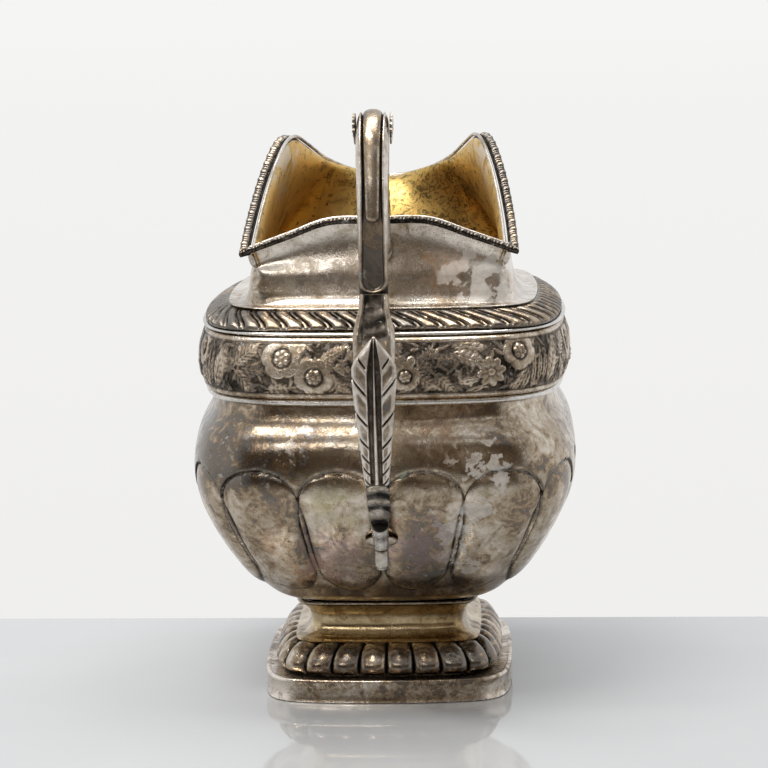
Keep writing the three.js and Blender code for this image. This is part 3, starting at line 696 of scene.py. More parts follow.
def frieze_heights(u, v, period):
    """One length of the rolled pattern, repeated round the band: a ground of small leaves, and
    roses, a daisy, leaves and ferns from left to right."""
    strip = Relief((u + period / 2) % period - period / 2, v)
    for _ in range(BACKGROUND_LEAVES):
        x, y, turn = RNG.uniform(-43, 43), RNG.uniform(-7, 7), RNG.uniform(-1.5, 1.5)
        strip.leaf(x, y, turn, RNG.uniform(2.2, 4.2), RNG.uniform(0.7, 1.1), RNG.uniform(0.24, 0.44), 0)
    strip.stem(TRAILING_STEM, 0.55, 0.3)
    strip.leaf(-43.5, -5.2, 1.2, 11, 5.4, 0.42, 7)
    strip.leaf(-39.5, 5.6, -1.75, 9.5, 4.6, 0.36, 6)
    strip.fern(-36, 0.4, 0.72, 7.4, 4.6, 0.42)
    strip.fern(-36, -0.2, -0.85, 7.6, 4.4, 0.4)
    strip.fern(-33.5, 0.0, -0.1, 5.6, 3.4, 0.34, 4)
    strip.rose(-23.3, 2.6, 5.0, 0.62, 0.45)
    strip.petal(-20.4, 4.4, 0.4, 3.2, 2.9, 0.5, 0.2)
    strip.fern(-27.5, -4.9, 0.08, 6.6, 2.6, 0.36, 5)
    strip.rose(-15.5, -1.9, 4.7, 0.6, 0.9)
    strip.leaf(-20.6, 1.2, 0.95, 4.8, 2.0, 0.42, 3)
    strip.leaf(-19.6, 0.8, 0.6, 4.4, 1.7, 0.4, 3)
    strip.fern(-14.2, 1.7, 0.5, 6.4, 3.6, 0.44)
    strip.fern(-12.4, -1.6, -0.65, 6.2, 3.2, 0.4)
    strip.fern(-12.6, 0.6, -0.1, 6.0, 2.6, 0.36, 4)
    strip.leaf(-6.2, -5.0, 0.9, 5, 2.2, 0.36, 3)
    strip.fern(-4.6, 0.5, 1.1, 5.4, 3.2, 0.36, 4)
    strip.rose(6.3, -1.9, 3.6, 0.56, 0.2)
    strip.petal(4.8, 0.5, 2.0, 2.6, 2.3, 0.5, 0.2)
    strip.petal(7.1, 0.6, 1.1, 2.6, 2.3, 0.5, 0.2)
    strip.fern(3.0, 0.9, 1.15, 5.6, 3.0, 0.36, 5)
    strip.fern(9.0, -0.6, 0.95, 7.0, 3.4, 0.36, 5)
    strip.fern(8.6, -1.4, -0.55, 6.4, 3.6, 0.42, 5)
    strip.fern(13.0, -1.0, -0.75, 6.2, 3.4, 0.42, 5)
    strip.fern(13.5, 0.2, 0.55, 5.2, 2.6, 0.3, 4)
    strip.leaf(18.2, 3.6, -0.35, 8.6, 4.2, 0.44, 6)
    strip.leaf(19.5, 5.6, -0.15, 7.4, 2.6, 0.36, 4)
    strip.leaf(19.0, -3.6, 0.15, 5.6, 2.2, 0.42, 4)
    strip.leaf(20.6, -6.4, 0.35, 5.4, 1.9, 0.42, 3)
    strip.daisy(27.0, -1.2, 3.6, 0.6)
    strip.rose(34.8, 3.4, 4.5, 0.64, 0.8)
    strip.leaf(32.8, -6.3, 1.0, 5.6, 2.4, 0.4, 4)
    strip.leaf(35.4, -6.2, 1.2, 5.8, 2.4, 0.4, 4)
    strip.fern(31.0, -2.6, -0.9, 4.4, 2.4, 0.34, 3)
    for k in range(4):
        strip.leaf(38.4 + 1.9 * k, -5.9 + 0.5 * k, 1.5 - 0.06 * k, 10.6 - 0.8 * k, 1.9, 0.42, 6)
    return strip.height


def build_frieze():
    """The rolled band: ornament between two fillets, and both edges turned in behind."""
    half_width, half_length, bottom, top = size_of("frieze_band")
    columns, rows = 1456, 60
    angles, run = station_angles(columns, half_width, half_length, ROUNDED)
    repeats, lip = 4, 3.0
    bulge = [[1.4, bottom], [0.2, 82], [0, 85.6], [0.5, 89], [1.8, top]]
    outline = curve_through([[half_width - d, half_length - d, z] for d, z in bulge], rows)
    u = (np.arange(columns) / columns * run + run / 2) % run - run / 2
    v = outline[:, 2] - (bottom + top) / 2
    relief = frieze_heights(u, v, run / repeats)
    half = (top - bottom) / 2
    field = 1 - ease(np.abs(v), half - 1.5, half - 1.1)[:, None]
    grain = RNG.random(relief.shape) * 0.05
    fillet = 0.34 * bead(np.clip((half - 0.15 - np.abs(v)) / 0.9, 0, 1))[:, None]
    relief = (relief + grain * (relief < 0.1)) * field + fillet
    beside_fillet = ridge(half - np.abs(v) - 1.2, 0.2)[:, None]
    hollow = 0.8 * (1 - ease(relief, 0.03, 0.36)) * field + 0.5 * beside_fillet
    # Oxide and painted shade: the creases, where the relief lies lower than round about it, are darkened
    # further, like ambient occlusion.
    around = sum(np.roll(relief, (a, b), (0, 1)) for a in range(-2, 3) for b in range(-2, 3)) / 25
    hollow = np.clip(hollow + 5.0 * np.maximum(around - relief, 0) * field, 0, 1)
    outer = rings_round(angles, outline, ROUNDED, relief - 0.25)

    def turned_in(edge_inset, z):
        return [half_width - edge_inset - lip, half_length - edge_inset - lip, z]

    back = inside_of(outline, WALL + 0.3)[::-8]
    upper = [turned_in(bulge[-1][0], top), turned_in(bulge[-1][0], top - WALL)]
    lower = [turned_in(bulge[0][0], bottom + WALL), turned_in(bulge[0][0], bottom)]
    inner = np.array([*upper, *back[1:-1], *lower])
    rings = np.concatenate([outer, rings_round(angles, inner, ROUNDED)])
    hollow = np.concatenate([hollow, np.full((len(inner), columns), 0.6)])
    settle(solid("frieze_band_fine", rings, hollow=hollow), "frieze_band", RELIEF)


def build_shoulder_gadroons():
    """Slanting gadroons, each a wide lobe beside a thin rib."""
    steps = 20
    count = SHOULDER_LOBES * steps
    slope = [
        [44.4, 50.9, 94.4], [44.7, 51.2, 95.0], [44.0, 50.5, 95.9],
        [41.6, 48.3, 97.5], [40.0, 46.8, 98.3], [38.8, 45.7, 98.6],
    ]
    back = np.array([[38.7, 45.6, 98.0], [43.2, 49.7, 94.8]])
    outline = curve_through(slope, 34)
    along = np.linspace(0, 1, len(outline))[:, None]
    angles, _ = station_angles(count, 42.4, 49.2, CUSHION)
    place = (np.arange(count)[None, :] / steps + 1.15 * ease(along, 0.02, 0.98)) % 1
    wide = bead(np.clip(place / 0.66, 0, 1), 2.2)
    thin = 0.62 * bead(np.clip((place - 0.72) / 0.2, 0, 1), 2.0)
    crown = np.where(place < 0.66, wide, thin)
    body = ease(along, 0.03, 0.16) * (1 - ease(along, 0.84, 0.97))
    swell = 0.95 * (crown - 0.7) * body
    outer = rings_round(angles, outline, CUSHION, swell)
    outer[..., 2] += 0.45 * (crown - 0.6) * body
    hollow = (1 - ease(crown, 0.1, 0.6)) * body + 0.25 * (1 - body)
    rings = np.concatenate([outer, rings_round(angles, back, CUSHION)])
    piece = solid("shoulder_gadroons_fine", rings, hollow=np.concatenate([hollow, np.ones((2, count))]))
    settle(piece, "shoulder_gadroon_border", SHOULDER_SILVER)


# ------------------------------------------------------------------ neck, lip and rim
# The edge of the rim as [x, y, z]: across the back to its pointed corner, and on to the spout.
RIM_BACK = [[0, -42.6, 120], [12, -42.5, 119.8], [22, -42.1, 116.4], [33.7, -41.2, 112.2]]
RIM_FRONT = [
    [33.7, -41.2, 112.2],
    [32.8, -25, 119.6],
    [30.8, -8, 128.8],
    [28.2, 6, 135.6],
    [26.4, 15, 136.6],
    [23.6, 27, 133.7],
    [19.7, 38, 129.6],
    [13.6, 49, 126.0],
    [7.0, 56.4, 124.0],
    [0, 59, 123.3],
]
# Share of the rim, from the middle of the back to the spout, at which the corner lies.
BACK_SHARE = 0.25
BORDER_WIDTH = 2.4
# The direction (degrees) on the neck that belongs to a share of the rim.
NECK_ANGLES = [[0, -90], [BACK_SHARE, -51], [0.56, 4], [0.8, 51], [1, 90]]
# Shoulder, flange and start of the upright wall, as [half width, half length, z].
NECK_FOOT = [
    [42.6, 49.0, 93.3],
    [42.1, 48.6, 94.6],
    [38.2, 45.1, 98.0],
    [38.6, 45.6, 98.7],
    [38.75, 45.75, 98.95],
    [38.4, 45.4, 99.25],
    [37.4, 44.5, 99.1],
    [35.0, 42.4, 99.5],
    [33.3, 41.1, 101.0],
    [32.7, 40.7, 102.8],
]

rim_back, rim_front = curve_through(RIM_BACK, 400), curve_through(RIM_FRONT, 1200)
rim_half = np.vstack([rim_back, rim_front[1:]])
rim_share = np.concatenate([
    np.linspace(0, BACK_SHARE, len(rim_back)),
    np.linspace(BACK_SHARE, 1, len(rim_front))[1:],
])


def rim_points(s):
    """Places on the rim: s runs from 0 behind, through 1 at the spout, to 2 behind again."""
    s = np.asarray(s, float) % 2
    half = np.where(s <= 1, s, 2 - s)
    place = np.stack([np.interp(half, rim_share, column) for column in rim_half.T], -1)
    place[..., 0] *= np.where(s > 1, -1, 1)
    return place


def unit(v):
    return v / np.linalg.norm(v, axis=-1, keepdims=True)


def rim_frame(s):
    """Directions on the rim: out, level and square to the edge, and up. Out is longer at the
    pointed corner, so that the pieces beside the edge meet in a mitre."""
    here = rim_points(s)
    arriving, leaving = unit(here - rim_points(s - 0.01)), unit(rim_points(s + 0.01) - here)
    along = unit(arriving + leaving)
    out = unit(np.stack([along[..., 1], -along[..., 0], np.zeros_like(along[..., 0])], -1))
    up = unit(np.cross(out, along))
    up = np.where(up[..., 2:] < 0, -up, up)
    mitre = np.minimum(1 / (along * arriving).sum(-1, keepdims=True), 1.6)
    return here, out * mitre, up


def on_rim(s, out, up):
    here, out_way, up_way = rim_frame(s)
    return here + out_way * np.asarray(out)[..., None] + up_way * np.asarray(up)[..., None]


def neck_angles(s):
    half = np.where(s <= 1, s, 2 - s)
    degrees = np.interp(half, *np.array(NECK_ANGLES, float).T)
    return np.radians(np.where(s <= 1, degrees, 180 - degrees))


def lip_points(s, inset, steps):
    """Rows of the lip from the upright wall of the neck to the edge of the rim."""
    angles = neck_angles(s)
    start = ring_points(angles, 32.3 - inset, 40.3 - inset, 105.5, UPRIGHT)
    reach, drop = -BORDER_WIDTH - 0.35 - inset * 0.8, inset * 0.1 - 0.75
    end = on_rim(s, np.full_like(s, reach), np.full_like(s, drop))
    _, out, _ = rim_frame(s)
    spout = ease(1 - np.abs(s - 1), 0.66, 0.9)[:, None]
    near_end = end - out * mix(2.5, 10, spout)
    near_end[:, 2:] += mix(-5, 4.8, spout)
    near_start = start + np.concatenate([np.zeros((len(s), 2)), mix(4, 8, spout)], 1)
    t = np.linspace(0, 1, steps)[:, None, None]
    handles = 3 * t * (1 - t) ** 2 * near_start + 3 * t * t * (1 - t) * near_end
    return (1 - t) ** 3 * start + handles + t**3 * end


def build_neck():
    """Shoulder, flange, upright wall and lip, raised in one and gilt inside."""
    s = np.linspace(0, 2, 560, endpoint=False)
    angles = neck_angles(s)
    foot = curve_through(NECK_FOOT, 60)

    def base(rows):
        return rings_round(angles, rows, mixed_style(CUSHION, UPRIGHT, ease(rows[:, 2:], 98, 103)))

    lip_rows = 44
    outer = np.concatenate([base(foot), lip_points(s, 0, lip_rows)])
    inner = np.concatenate([lip_points(s, WALL, lip_rows)[::-1], base(inside_of(foot, WALL)[::-2])])
    piece = solid("neck_fine", np.concatenate([outer, inner]), smooth_up_to=60)
    settle(piece, "neck", NECK_SILVER)
    line_with_gilding(piece, len(outer), len(s))


def build_rim_border():
    """Cast beads along the edge: a wide one beside two narrow ones."""
    steps = 20
    count = RIM_LOBES * steps
    s = np.linspace(0, 2, count, endpoint=False)
    t = (np.arange(count) % steps) / steps
    crown = np.where(t < 0.5, bead(t / 0.5), 0.75 * bead(np.clip((t - 0.5) / 0.25, 0, 1)))
    crown = np.where(t >= 0.75, 0.75 * bead((t - 0.75) / 0.25), crown)
    wide, half = BORDER_WIDTH, 0.8
    turn = np.linspace(0, np.pi, 16)
    section = [(-wide, -half * 0.7, 0), (-wide, 0.0, 0), (-wide + 0.15, 0.3, 0), (-wide + 0.35, 0.2, 0)]
    body = wide - 0.45
    for a in turn:
        rise = math.sin(a)
        section.append((-body * (0.5 + 0.5 * math.cos(a)), -0.1 + 0.62 * rise, rise**0.4))
    section += [(0, -0.5, 0.4), (-0.35, -half - 0.2, 0)]
    rings, hollow = [], []
    for out, up, lobed in section:
        swell = 0.75 * (crown - 0.72) * lobed
        rings.append(on_rim(s, out + swell * 0.8, up + swell))
        hollow.append((1 - ease(crown, 0.15, 0.75)) * lobed + 0.9 * (1 - lobed))
    settle(solid("rim_gadroons_fine", rings, hollow=hollow), "rim_gadroon_border", RIM_SILVER)


def build_rim_wire():
    """Plain fillet inside the border."""
    s = np.linspace(0, 2, 480, endpoint=False)
    out = -BORDER_WIDTH - 0.49
    rings = []
    for a in once_round(12):
        across, rise = 0.4 * (math.cos(a) - 1), 0.3 + 0.45 * math.sin(a)
        rings.append(on_rim(s, np.full_like(s, out + across), np.full_like(s, rise)))
    settle(solid("rim_inner_wire_fine", rings), "rim_inner_wire", HANDLE_SILVER)


# ------------------------------------------------------------------ handle
# The middle line of the casting as [y, z], from the neck over the crown and down to the bowl.
HANDLE_LINE = [
    [-42.2, 113.4], [-45.4, 114.2], [-47.8, 118.2], [-49.9, 127], [-53.6, 136.6], [-59.6, 142.6],
    [-65.6, 144.0], [-71.2, 140.6], [-73.8, 132], [-74.8, 122], [-75.2, 112], [-76.0, 105],
    [-78.6, 98.5], [-80.2, 92], [-79.6, 84], [-76.8, 74], [-73.2, 65], [-69.4, 59], [-64.8, 53.4],
    [-60.2, 48.6], [-56.7, 45], [-54.5, 41.2], [-53.0, 36.8],
]
line = curve_through(HANDLE_LINE, 2400)
line_share = np.linspace(0, 1, len(line))
line_way = unit(np.gradient(line, axis=0))
line_length = np.linalg.norm(np.diff(line, axis=0), axis=1).sum()


def share_at(height):
    """Share of the line's length at which its falling stretch passes a height."""
    falling = (line_share > 0.3) & (line[:, 1] < height)
    return line_share[np.argmax(falling)]


def swept(shares, across, outwards):
    """Rings along the handle's line. across and outwards are (stations, ring) arrays."""
    y, z = (np.interp(shares, line_share, line[:, k]) for k in range(2))
    way_y, way_z = (np.interp(shares, line_share, line_way[:, k]) for k in range(2))
    out_y, out_z = way_z[:, None], -way_y[:, None]
    return np.stack([across, y[:, None] + out_y * outwards, z[:, None] + out_z * outwards], -1)


def faced_ring(width, front, back, stations, face_steps=72, back_steps=26):
    """Ring with a modelled outer face: front(v) gives its height over v from -1 to 1."""
    v = -np.cos(np.linspace(0, np.pi, face_steps))[None, :]
    turn = np.linspace(0, np.pi, back_steps + 2)[1:-1][None, :]
    width, back = (np.broadcast_to(x, (stations, 1)) for x in (width, back))
    across = np.concatenate([width * v, width * np.cos(turn)], 1)
    outwards = np.concatenate([front(v), -back * np.sin(turn) ** 0.8], 1)
    return across, outwards, v


def graph(pairs, x):
    """A piecewise smooth graph through (x, value) pairs."""
    xs, ys = np.array(pairs, float).T
    k = np.clip(np.searchsorted(xs, x), 1, len(xs) - 1)
    return mix(ys[k - 1], ys[k], ease(x, xs[k - 1], xs[k]))


JOINT, RIB_END, LEAF_TIP, COLLAR, CUP = (share_at(z) for z in (106.0, 122.4, 96.2, 63.4, 49.4))
RIB_START = 0.44 * JOINT
# Height of the upper bar's outer face over the line, by share of the bar.
RISE = [(0, 2.4), (0.2, 2.8), (0.45, 2.9), (0.62, 3.1), (0.8, 3.4), (0.97, 3.1), (1, 2.8)]


def build_upper_scroll():
    """Bar from the neck over the crown, with raised rims beside a channel that ends in a nail."""
    stations = 440
    shares = np.linspace(0, JOINT, stations)
    t = (shares / JOINT)[:, None]
    width = graph([(0, 3.3), (0.2, 3.0), (0.45, 3.6), (0.6, 3.8), (0.8, 3.6), (0.95, 3.4), (1, 3.3)], t)
    rise = graph(RISE, t)
    sunk = ease(t, 0.38, 0.44)
    inner = graph([(0, 2.55), (0.5, 2.6), (0.7, 2.35), (0.85, 2.5), (1, 2.65)], t)
    left = (JOINT - shares)[:, None] * line_length

    def rims(v):
        """Distance outside the channel, whose lower end is round."""
        x = np.abs(v) * width
        return np.hypot(x, np.maximum(0, inner + 0.5 - left)) - inner

    def front(v):
        x = np.abs(v) * width
        beyond = rims(v)
        flank = rise * np.sqrt(np.maximum(0, 1 - np.clip((x - 0.6 * width) / (0.4 * width), 0, 1) ** 2.2))
        crest = 0.22 * ridge(beyond - 0.3, 0.28) * sunk
        channel = sunk * 1.05 * (1 - ease(beyond, -0.5, 0.12))
        fallen = 1.3 * ease(beyond, 0.5, 0.95) * ease(inner + 0.5 - left, 0.2, 1.4)
        dome = (1 - sunk) * 0.3 * (1 - v * v)
        return flank - channel - fallen * (flank / rise) + dome + crest

    across, outwards, v = faced_ring(width, front, rise * 0.95, stations, 96)
    beyond = rims(v)
    groove = sunk * (1 - ease(beyond, -0.45, 0.1)) * mix(0.95, 0.38, ease(t, 0.76, 0.82))
    # Painted shade: the face falling away round the nail's end is darkened through the hollow attribute.
    below = ease(beyond, 0.5, 0.8) * ease(inner + 0.5 - left, 0.2, 1.2)
    hollow = np.concatenate([groove + below, np.zeros((stations, across.shape[1] - v.shape[1]))], 1)
    piece = solid("handle_upper_scroll_fine", swept(shares, across, outwards), False, hollow, 60)
    settle(piece, "handle_upper_scroll", HANDLE_SILVER)


def build_rib():
    """Half-round strap that starts over the crown and ends in a rounded tongue."""
    stations = 200
    shares = np.linspace(RIB_START, RIB_END, stations)
    t = np.linspace(0, 1, stations)[:, None]
    tongue = arc(np.clip((t - 0.955) / 0.045, 0, 1))
    end = tongue * np.sqrt(ease(t, -0.02, 0.04))
    half = mix(2.3, 1.65, t) * np.maximum(end, 0.1)
    base = graph(RISE, shares[:, None] / JOINT) - 0.95
    turn = np.linspace(0, np.pi, 30)[None, :]
    dome = np.sin(turn) ** 0.8
    across = np.concatenate([half * np.cos(turn), -half, half], 1)
    outwards = np.concatenate([base + 0.2 + mix(1.45, 1.1, t) * np.maximum(end, 0.25) * dome, base, base], 1)
    hollow = np.concatenate([1 - ease(np.sin(turn), 0.0, 0.5) + 0 * half, np.ones((stations, 2))], 1)
    rings = swept(shares, across, outwards)
    settle(solid("handle_rib_fine", rings, False, hollow, 60), "handle_rib", RIB_SILVER)


def build_shell(side):
    """Small scallop with radial ribs, standing on the flank of the crown."""
    name = "handle_shell_" + ("right" if side > 0 else "left")
    spokes, rows, ribs = 140, 16, 9
    turn = once_round(spokes)[None, :]
    reach = np.linspace(0.02, 1, rows)[:, None]
    upper = ease(np.sin(turn), -0.45, 0.1)
    tooth = np.abs(np.sin(turn * ribs))
    radius = mix(2.6, 4.1 + 0.45 * tooth, upper)
    x, y = radius * reach * np.cos(turn), radius * reach * np.sin(turn)
    lift = 0.62 + 0.3 * tooth * upper * ease(reach, 0.2, 0.9) - 0.25 * reach**2
    base, middle_y, middle_z = 3.95, -65.6, 142.2
    outer = np.stack([side * (base + lift), x + middle_y, y + middle_z], -1)
    inner = np.stack([np.full_like(x, side * base), x + middle_y, y + middle_z], -1)
    rings = np.concatenate([outer, inner[::-1]])
    hollow = np.concatenate([(1 - tooth) * upper * ease(reach, 0.15, 0.6) + 0 * x, np.ones_like(x)])
    settle(solid(name + "_fine", rings, False, hollow), name, HANDLE_SILVER)


def build_lower_scroll():
    """Bar behind the leaf: dished below the nail, with painted shade there, between flanks that flare."""
    stations = 300
    shares = np.linspace(JOINT + 0.35 / line_length, COLLAR, stations)
    far = (shares - JOINT)[:, None] * line_length
    t = far / far[-1]
    width = graph([(0, 3.3), (0.05, 3.45), (0.24, 4.9), (0.36, 4.8), (0.6, 3.95), (0.85, 3.1), (1, 2.7)], t)
    rise = graph([(0, 1.35), (0.25, 1.75), (0.4, 1.95), (1, 1.95)], t)
    dished = 1 - ease(t, 0.22, 0.3)

    def front(v):
        rounded = np.maximum(0, 1 - np.abs(v) ** 5) ** 0.5
        flank = 0.85 * ease(np.abs(v), 0.5, 0.8) * dished
        ripple = 0.12 * np.sin(far * 1.5 + 2.2 * v * v) * (1 - ease(np.abs(v), 0.5, 0.75)) * dished
        return (rise + flank + ripple) * rounded

    across, outwards, v = faced_ring(width, front, 2.6, stations, 84)
    # Painted shade: the dished face below the nail is darkened through the hollow attribute, for the shade
    # under the nail.
    dark = (1 - ease(np.abs(v), 0.58, 0.76)) * dished
    shade_below_nail = dark * (0.82 + 0.18 * np.sin(far * 1.9 + 3.0 * v))
    hollow = np.concatenate([shade_below_nail, np.zeros((stations, across.shape[1] - v.shape[1]))], 1)
    piece = solid("handle_lower_scroll_fine", swept(shares, across, outwards), False, hollow, 60)
    settle(piece, "handle_lower_scroll", HANDLE_SILVER)


# Half width of the leaf by the distance from its tip, and where its slanting slits start.
LEAF_HALF = [(0, 0.12), (4.6, 4.3), (6.2, 5.1), (9.0, 5.15), (34.5, 2.85), (40, 2.7)]
LEAF_SLITS = [-3.0, 8.6, 14.4, 21.2, 26.6, 30.3, 33.3, 36.0, 39.0, 42.5]


def build_leaf():
    """Long feathered leaf: a midrib between two grooves, and slanting lobes with sunk middles."""
    stations = 480
    shares = np.linspace(LEAF_TIP, COLLAR, stations)
    far = (shares - LEAF_TIP)[:, None] * line_length
    width = np.interp(far, *np.array(LEAF_HALF).T)
    rib = np.interp(far, [0, 1.4, 8, 22, 34], [0.08, 0.14, 0.27, 0.52, 0.62])
    groove = np.interp(far, [0, 1.4, 5, 8, 22, 34], [0.02, 0.2, 0.9, 1.15, 0.78, 0.62])
    face = 120

    def lobes(v):
        """Place in the run of slanting lobes, as distance from the nearest slit and as a share."""
        x = np.abs(v) * width
        q = far + 1.15 * x
        k = np.clip(np.searchsorted(LEAF_SLITS, q) - 1, 0, len(LEAF_SLITS) - 2)
        starts, ends = np.array(LEAF_SLITS)[k], np.array(LEAF_SLITS)[k + 1]
        part = (q - starts) / (ends - starts)
        slit = np.where(k == 0, ends - q, np.minimum(q - starts, ends - q)) * 0.66
        return x, part, np.maximum(slit, 0)

    def shapes(v):
        x, part, slit = lobes(v)
        first = far + 1.15 * x < LEAF_SLITS[1] + 1
        short = ease(x, 1.7, 2.1) * (1 - ease(x, 3.2, 3.7))
        slits = ridge(slit, 0.18) * np.where(first, short, ease(np.abs(v), 0.3, 0.5))
        bowl = ease(part, 0.16, 0.36) * (1 - ease(part, 0.62, 0.84)) * (far + 1.15 * x > LEAF_SLITS[1])
        inner = ease(x, rib + groove + 0.35, rib + groove + 0.9)
        outer = 1 - ease(x, width - 1.25, width - 0.6)
        return x, slits, bowl * inner * outer

    def front(v):
        x, slits, dish = shapes(v)
        blade = ease(x, rib + groove - 0.15, rib + groove + 0.3)
        dome = 1.25 * np.maximum(0, 1 - np.abs(v) ** 5) ** 0.5 + 0.3
        height = 0.3 + (dome - 0.75 * slits - 0.45 * dish) * blade
        midrib = 1.65 * arc(x / (rib + 0.08))
        return 2.3 + np.maximum(height * np.ones_like(x), midrib) * ease(far, 0, 1.2)

    across, outwards, v = faced_ring(width, front, -2.15, stations, face, 6)
    x, slits, dish = shapes(v)
    across[:, :face] *= 1 - 0.08 * slits * ease(np.abs(v), 0.8, 1)
    dark = ease(x, rib - 0.1, rib + 0.1) * (1 - ease(x, rib + groove - 0.25, rib + groove + 0.2))
    hollow = np.concatenate([np.clip(dark + slits + 0.5 * dish, 0, 1), np.ones((stations, 6))], 1)
    rings = swept(shares, across, outwards)
    settle(solid("handle_leaf_fine", rings, False, hollow, 60), "handle_leaf", LEAF_SILVER)


def turned(name, first, last, profile, ringed, tilt=0.0):
    """A round piece along the handle's line, with a radius graph over t from 0 to 1. ringed lists
    dark rings as (t, width). tilt lifts the outer side, as a share of the radius."""
    stations = 260
    shares = np.linspace(first, last, stations)
    t = np.linspace(0, 1, stations)[:, None]
    radius = graph(profile, t)
    turn = once_round(64)[None, :]
    dark = sum((ridge(t - at, wide) for at, wide in ringed), np.zeros_like(t))
    rings = swept(shares, radius * np.cos(turn), radius * np.sin(turn))
    rings[..., 2] += tilt * radius * np.sin(turn)
    return solid(name, rings, False, np.clip(dark, 0, 1) + 0 * turn, 60)


def build_collar():
    """Three cast rings over a small cup."""
    profile = [
        (0, 2.4), (0.03, 2.95), (0.10, 2.95), (0.22, 2.75), (0.25, 2.45), (0.28, 2.9),
        (0.34, 2.9), (0.46, 2.65), (0.49, 2.35), (0.52, 2.8), (0.58, 2.8), (0.69, 2.5),
        (0.72, 2.25), (0.75, 2.65), (0.82, 2.6), (0.97, 2.1), (1, 1.9),
    ]
    grooves = [(0.0, 0.03), (0.20, 0.06), (0.44, 0.06), (0.68, 0.06), (0.98, 0.05)]
    piece = turned("handle_collar_fine", COLLAR + 0.002, CUP, profile, grooves, 1.15)
    settle(piece, "handle_collar", COLLAR_SILVER)


def build_tail():
    """Plain round tail with a groove and a drop at its end."""
    profile = [
        (0, 2.0), (0.12, 2.08), (0.4, 1.85), (0.56, 1.75), (0.585, 1.3),
        (0.61, 1.3), (0.64, 1.65), (0.9, 1.62), (0.97, 1.3), (1, 0.4),
    ]
    piece = turned("handle_tail_fine", CUP + 0.001, 0.999, profile, [(0.0, 0.02), (0.6, 0.02)])
    settle(piece, "handle_tail", BRIGHT)


def build_pad(node, lean):
    """A cast pad, domed towards the handle. lean(z) is the place of its inner face along Y."""
    low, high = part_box(node)
    half_width, half_height = (high.x - low.x) / 2 / MM, (high.z - low.z) / 2 / MM
    middle = (low.z + high.z) / 2 / MM
    turn = once_round(48)
    shape = [np.sign(f) * np.abs(f) ** 0.87 for f in (np.cos(turn), np.sin(turn))]
    rings = []
    for reach, lift in ((1, 0), (1, 0.35), (0.93, 0.7), (0.7, 0.92), (0.3, 1.0)):
        z = middle + half_height * reach * shape[1]
        rings.append(np.stack([half_width * reach * shape[0], lean(z) - lift, z], -1))
    settle(solid(node + "_fine", rings, False), node, HANDLE_SILVER)


build_plinth()
build_foot_gadroons()
build_stem()
build_wire("stem_joint_wire", TIGHT)
build_bowl()
build_wire("band_lower_wire", ROUNDED)
build_frieze()
build_wire("band_upper_wire", ROUNDED, 1.5)
build_shoulder_gadroons()
build_neck()
build_rim_border()
build_rim_wire()
build_upper_scroll()
build_rib()
build_shell(-1)
build_shell(1)
build_lower_scroll()
build_leaf()
build_collar()
build_tail()
build_pad("handle_upper_pad", lambda z: -40.3 + 0 * z)
build_pad("handle_lower_pad", lambda z: -51.9 - (z - 43.6) * 0.6)


# ------------------------------------------------------------------ floor, light and camera
def build_floor():
    """A pale table whose far edge lies behind the jug, and beyond it a ground that glows white by emission,
    brighter with distance: painted light.
    """
    material = bpy.data.materials.new("pale_table")
    g = Graph(material)
    place = g.place()
    shade = g.ramp(g.noise(place, 90, 2, 0.5), [(0.35, (0.355, 0.36, 0.364)), (0.65, (0.38, 0.385, 0.389))])
    rough = g.added(g.noise(place, 12, 4, 0.5), 0.05, 0.02)
    g.surface(g.add("ShaderNodeBsdfPrincipled", {"Base Color": shade, "Roughness": rough}))
    ground = bpy.data.materials.new("glowing_white_ground")
    g = Graph(ground)
    wide, near, far = 6000, -1500, 59
    turn, clearance = math.radians(-1.3), 0.2
    away = g.math("DIVIDE", g.add("ShaderNodeSeparateXYZ", {0: g.place()}).outputs[1], wide)
    whites = [(0.0, (0.866, 0.861, 0.852)), (0.14, (0.884, 0.88, 0.874)), (1.0, (0.912, 0.91, 0.908))]
    # Painted light: the ground glows by emission instead of being lit, brighter with distance.
    g.surface(g.add("ShaderNodeEmission", {"Color": g.ramp(away, whites), "Strength": 1.0}))
    c, s = math.cos(turn), math.sin(turn)
    planes = (("table", material, near, far), ("ground", ground, far, wide))
    for name, finish, near_edge, far_edge in planes:
        mesh = bpy.data.meshes.new(name)
        corners = [(-wide, near_edge), (wide, near_edge), (wide, far_edge), (-wide, far_edge)]
        points = [(c * x - s * y, s * x + c * y + AXIS[1], -clearance) for x, y in corners]
        mesh.from_pydata([Vector(point) * MM for point in points], [], [(0, 1, 2, 3)])
        mesh.materials.append(finish)
        plane = bpy.data.objects.new(name, mesh)
        bpy.context.scene.collection.objects.link(plane)


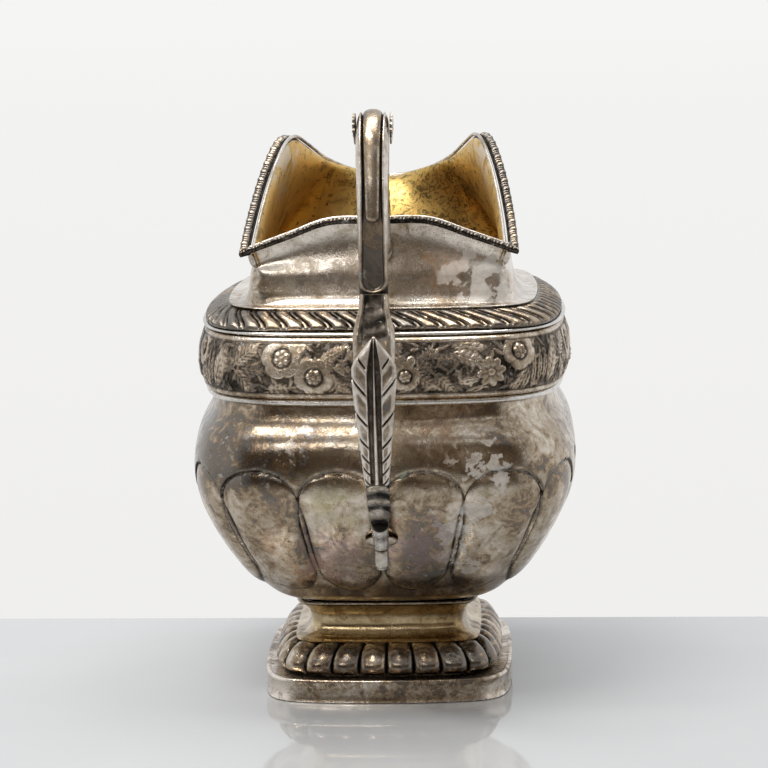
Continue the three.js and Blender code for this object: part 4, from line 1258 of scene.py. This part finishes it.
def build_world():
    """A pale studio: white to the camera, and to the metal a white back and sides, a bright
    ceiling and a dark, warm room in front."""
    world = bpy.data.worlds.new("studio")
    bpy.context.scene.world = world
    g = Graph(world)
    generated = g.add("ShaderNodeTexCoord").outputs["Generated"]
    way = g.add("ShaderNodeSeparateXYZ", {0: generated}).outputs
    front = g.spread(g.times(way[1], -1.0), -0.1, 0.35)
    beside = g.spread(g.math("ABSOLUTE", way[0]), 0.66, 0.9)
    high = g.spread(way[2], 0.46, 0.56)
    overhead = g.spread(way[2], 0.80, 0.86)
    room = g.times(front, g.math("SUBTRACT", 1.0, g.math("MAXIMUM", high, beside)))
    clutter = g.noise(generated, 0.35, 3, 0.6, 0.5)
    browns = [(0.36, (0.035, 0.026, 0.018)), (0.55, (0.11, 0.08, 0.055)), (0.68, (0.34, 0.29, 0.24))]
    dim = g.ramp(clutter, browns)
    colour = g.blend(room, (0.86, 0.87, 0.89), dim)
    under_top = g.math("SUBTRACT", 1.0, g.spread(way[2], 0.70, 0.76))
    shade = g.times(g.spread(way[2], 0.60, 0.66), under_top)
    colour = g.blend(g.times(shade, front), colour, (0.16, 0.14, 0.12))
    colour = g.blend(overhead, colour, (0.30, 0.29, 0.28))
    whites = [(0.0, (0.905, 0.903, 0.90)), (1.0, (0.92, 0.918, 0.917))]
    backdrop = g.ramp(g.spread(way[2], -0.2, 0.15), whites)
    seen = g.add("ShaderNodeLightPath").outputs["Is Camera Ray"]
    colour = g.blend(seen, colour, backdrop)
    background = g.add("ShaderNodeBackground", {"Color": colour, "Strength": 1.0})
    g.surface(background, "ShaderNodeOutputWorld")


def build_light(name, place, target, width, height, power, colour):
    lamp = bpy.data.lights.new(name, "AREA")
    lamp.shape = "RECTANGLE"
    lamp.size, lamp.size_y = width * MM, height * MM
    lamp.energy = power
    lamp.color = colour
    light = bpy.data.objects.new(name, lamp)
    light.location = (Vector(place) + Vector(AXIS)) * MM
    aim = (Vector(target) - Vector(place)).to_track_quat("-Z", "Y")
    light.rotation_euler = aim.to_euler()
    bpy.context.scene.collection.objects.link(light)


def build_camera():
    """The fitted view: 750 mm away, 182 mm up, two degrees to the right of the handle, and rolled
    by a little under one degree."""
    distance, height, azimuth, roll = 750, 182, math.radians(2.0), math.radians(-0.9)
    data = bpy.data.cameras.new("camera")
    data.sensor_width = 36
    data.lens = 138.8
    data.clip_start, data.clip_end = 0.05, 20
    camera = bpy.data.objects.new("camera", data)
    place = Vector((distance * math.sin(azimuth), -distance * math.cos(azimuth), height))
    target = Vector((-0.7, 0, 74.2))
    aim = (target - place).to_track_quat("-Z", "Y").to_matrix().to_4x4()
    stand = Matrix.Translation((place + Vector(AXIS)) * MM)
    camera.matrix_world = stand @ aim @ Matrix.Rotation(roll, 4, "Z")
    bpy.context.scene.collection.objects.link(camera)
    bpy.context.scene.camera = camera


build_floor()
build_world()
build_light("key_left", (-190, -240, 600), (0, 0, 60), 400, 100, 2.8, (1.0, 0.98, 0.95))
build_light("strip_left", (-200, -520, 330), (0, 0, 60), 330, 40, 0.3, (1.0, 0.98, 0.95))
build_light("top", (0, 40, 760), (0, 0, 60), 620, 360, 5, (1.0, 1.0, 1.0))
build_camera()
bpy.context.scene.view_settings.view_transform = "Standard"
